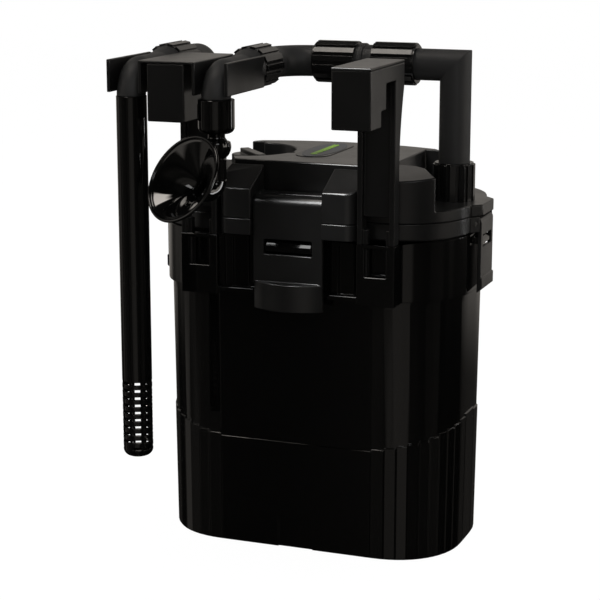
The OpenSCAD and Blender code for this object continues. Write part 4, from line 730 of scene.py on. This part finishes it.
studio = {
    "floorSize": 6.0, "floorDrop": 0.0002, "floorWhite": 0.8, "floorLift": 0.95, "floorGlow": 1.03,
    "worldDiffuse": 0.50, "warm": (1.0, 0.93, 0.85),
    # brightness mirrored from each side of the room: degrees from the front towards the right, level
    "bands": [(-180, 0.43), (-128, 0.38), (-112, 0.07), (-96, 0.20), (-84, 0.24), (-76, 0.04), (-62, 0.10),
              (-52, 0.045), (-30, 0.04), (-22, 0.012), (-14, 0.06), (-4, 0.04), (2, 0.20), (8, 0.17),
              (12, 0.24), (30, 0.22), (37, 0.03), (60, 0.012), (68, 0.04), (84, 0.05), (96, 0.03),
              (106, 0.07), (116, 0.03), (142, 0.03), (156, 0.40), (180, 0.43)],
    # how the bands fade upwards, downwards, and downwards behind: height from, height to, share at each
    "bandTop": (0.55, 0.74, 1.0, 0.12),
    "bandFoot": (-0.75, -0.28, 0.25, 1.0),
    "backFoot": (-0.27, -0.17, 0.08, 1.0),
    # pale panels: centre and half width round the room, centre and half height, soft edge, level
    "panels": [(-58, 21, 14, 14, 3, 0.85), (-62, 24, 68, 6, 3, 10.0), (97, 20, 10, 12, 3, 2.5)],
    "lamps": [  # name, place, aim, width, height, watts, mirrored, lit nodes (all if none)
        ("overhead", (0.1, 0.15, 1.3), (0, 0, 0.2), 0.9, 0.5, 7, False, ()),
        ("leftHigh", (-1.15, -0.30, 0.85), (-0.035, -0.115, 0.215), 0.35, 0.25, 2.4, False, ()),
        ("leftStrip", (-1.3, 0.30, 0.45), (0, 0, 0.15), 0.03, 1.0, 1.2, False, ()),
        ("rightStrip", (1.1, 0.95, 0.40), (0, 0, 0.12), 0.04, 1.0, 1.6, True, ()),
        ("frontFill", (0.75, -1.3, 1.1), (0, 0, 0.15), 0.6, 0.5, 3.2, True, ()),
        ("edgeKey", (-0.30, -0.50, 0.82), (0, -0.1, 0.19), 0.5, 0.3, 15, True,
         ("front_latch", "right_latch", "head_cover", "head_base", "hanger_cap", "flow_lever")),
        ("toothKey", (-0.30, -0.50, 0.82), (0, -0.1, 0.19), 0.5, 0.3, 3, True, ("collar",)),
        ("rimKey", (0.96, 0.0, 0.05), (-0.03, -0.12, 0.21), 0.3, 0.3, 2.4, True, ("trumpet_nozzle",)),
    ],
}


def roomLight(room, s):
    # what glossy plastic mirrors: a dark room with pale panels, brighter behind, dimmer high up and low down
    split = room.node("ShaderNodeSeparateXYZ", {}, {0: room.node("ShaderNodeTexCoord", out="Generated")})
    x, y, z = (split.also(axis) for axis in "XYZ")
    angle = x.join("ARCTAN2", y * -1)
    rise = z.join("ARCSINE", 0)

    def eased(value, start, stop, low, high):
        return room.node("ShaderNodeMapRange", {"interpolation_type": "SMOOTHSTEP"},
                         {"Value": value, "From Min": start, "From Max": stop,
                          "To Min": low, "To Max": high})

    def panel(across, half, soft, bright):
        # bright within half of the middle, with soft edges
        return eased(across.join("ABSOLUTE", 0), half - soft, half + soft, bright, 0.0)

    stops = [((turn + 180) / 360, level) for turn, level in s["bands"]]
    bands = room.node("ShaderNodeValToRGB", {"stops": stops, "easing": "EASE"},
                      {0: (angle + math.pi) / math.tau})
    level = bands * eased(z, *s["bandFoot"]) * eased(z, *s["bandTop"])
    level = level * (1 - (y > 0.0) * (1 - eased(z, *s["backFoot"])))
    for *degrees, bright in s["panels"]:
        turn, wide, up, tall, soft = (math.radians(a) for a in degrees)
        level = level + panel(angle - turn, wide, soft, bright) * panel(rise - up, tall, soft, 1.0)
    return level


def makeWorld(s):
    # white to the camera, the room to what mirrors it, a plain soft light to the rest
    world = bpy.data.worlds.new("studio")
    bpy.context.scene.world = world
    world.use_nodes = True
    world.node_tree.nodes.clear()
    room = Tree(world.node_tree)
    seen, mirrored, through = room.rays()
    level = seen + through + mirrored * roomLight(room, s)
    level = level + (1 - seen - through - mirrored) * s["worldDiffuse"]
    tint = room.blend(mirrored, (1.0, 1.0, 1.0), s["warm"])
    light = room.node("ShaderNodeBackground", {}, {"Color": tint, "Strength": level})
    room.node("ShaderNodeOutputWorld", {}, {"Surface": light})


def makeFloor(s):
    # pale paper that takes the shadow and isn't mirrored
    half, low = s["floorSize"] / 2, -s["floorDrop"]
    mesh = bpy.data.meshes.new("floor")
    mesh.from_pydata([(-half, -half, low), (half, -half, low), (half, half, low), (-half, half, low)],
                     [], [(0, 1, 2, 3)])
    floor = bpy.data.objects.new("floor", mesh)
    bpy.context.scene.collection.objects.link(floor)
    f = Finish("floorPaper", Roughness=0.9, IOR=1.3, Base_Color=(s["floorWhite"],) * 3)
    seen, mirrored = f.rays()[:2]
    paper = Wire(f.tree, f.shader.outputs[0])
    glow = f.node("ShaderNodeEmission", {}, {"Strength": s["floorGlow"]})
    lifted = f.node("ShaderNodeMixShader", {}, {0: seen * s["floorLift"], 1: paper, 2: glow})
    clear = f.node("ShaderNodeBsdfTransparent")
    hidden = f.node("ShaderNodeMixShader", {}, {0: mirrored, 1: lifted, 2: clear})
    plug(f.tree, f.tree.nodes["Material Output"].inputs["Surface"], hidden)
    mesh.materials.append(f.material)


def makeLamps(s):
    # area lamps, of which some light only a few pieces
    for name, spot, aim, width, height, watts, mirrored, lit in s["lamps"]:
        data = bpy.data.lights.new(name, "AREA")
        data.shape, data.size, data.size_y, data.energy = "RECTANGLE", width, height, watts
        lamp = bpy.data.objects.new(name, data)
        lamp.visible_glossy = mirrored
        lamp.location = spot
        lamp.rotation_euler = (Vector(aim) - Vector(spot)).to_track_quat("-Z", "Y").to_euler()
        bpy.context.scene.collection.objects.link(lamp)
        if lit:
            group = bpy.data.collections.new(name)
            for node in lit:
                group.objects.link(skins[node])
            lamp.light_linking.receiver_collection = group


makeWorld(studio)
makeFloor(studio)
makeLamps(studio)
print("studio set")
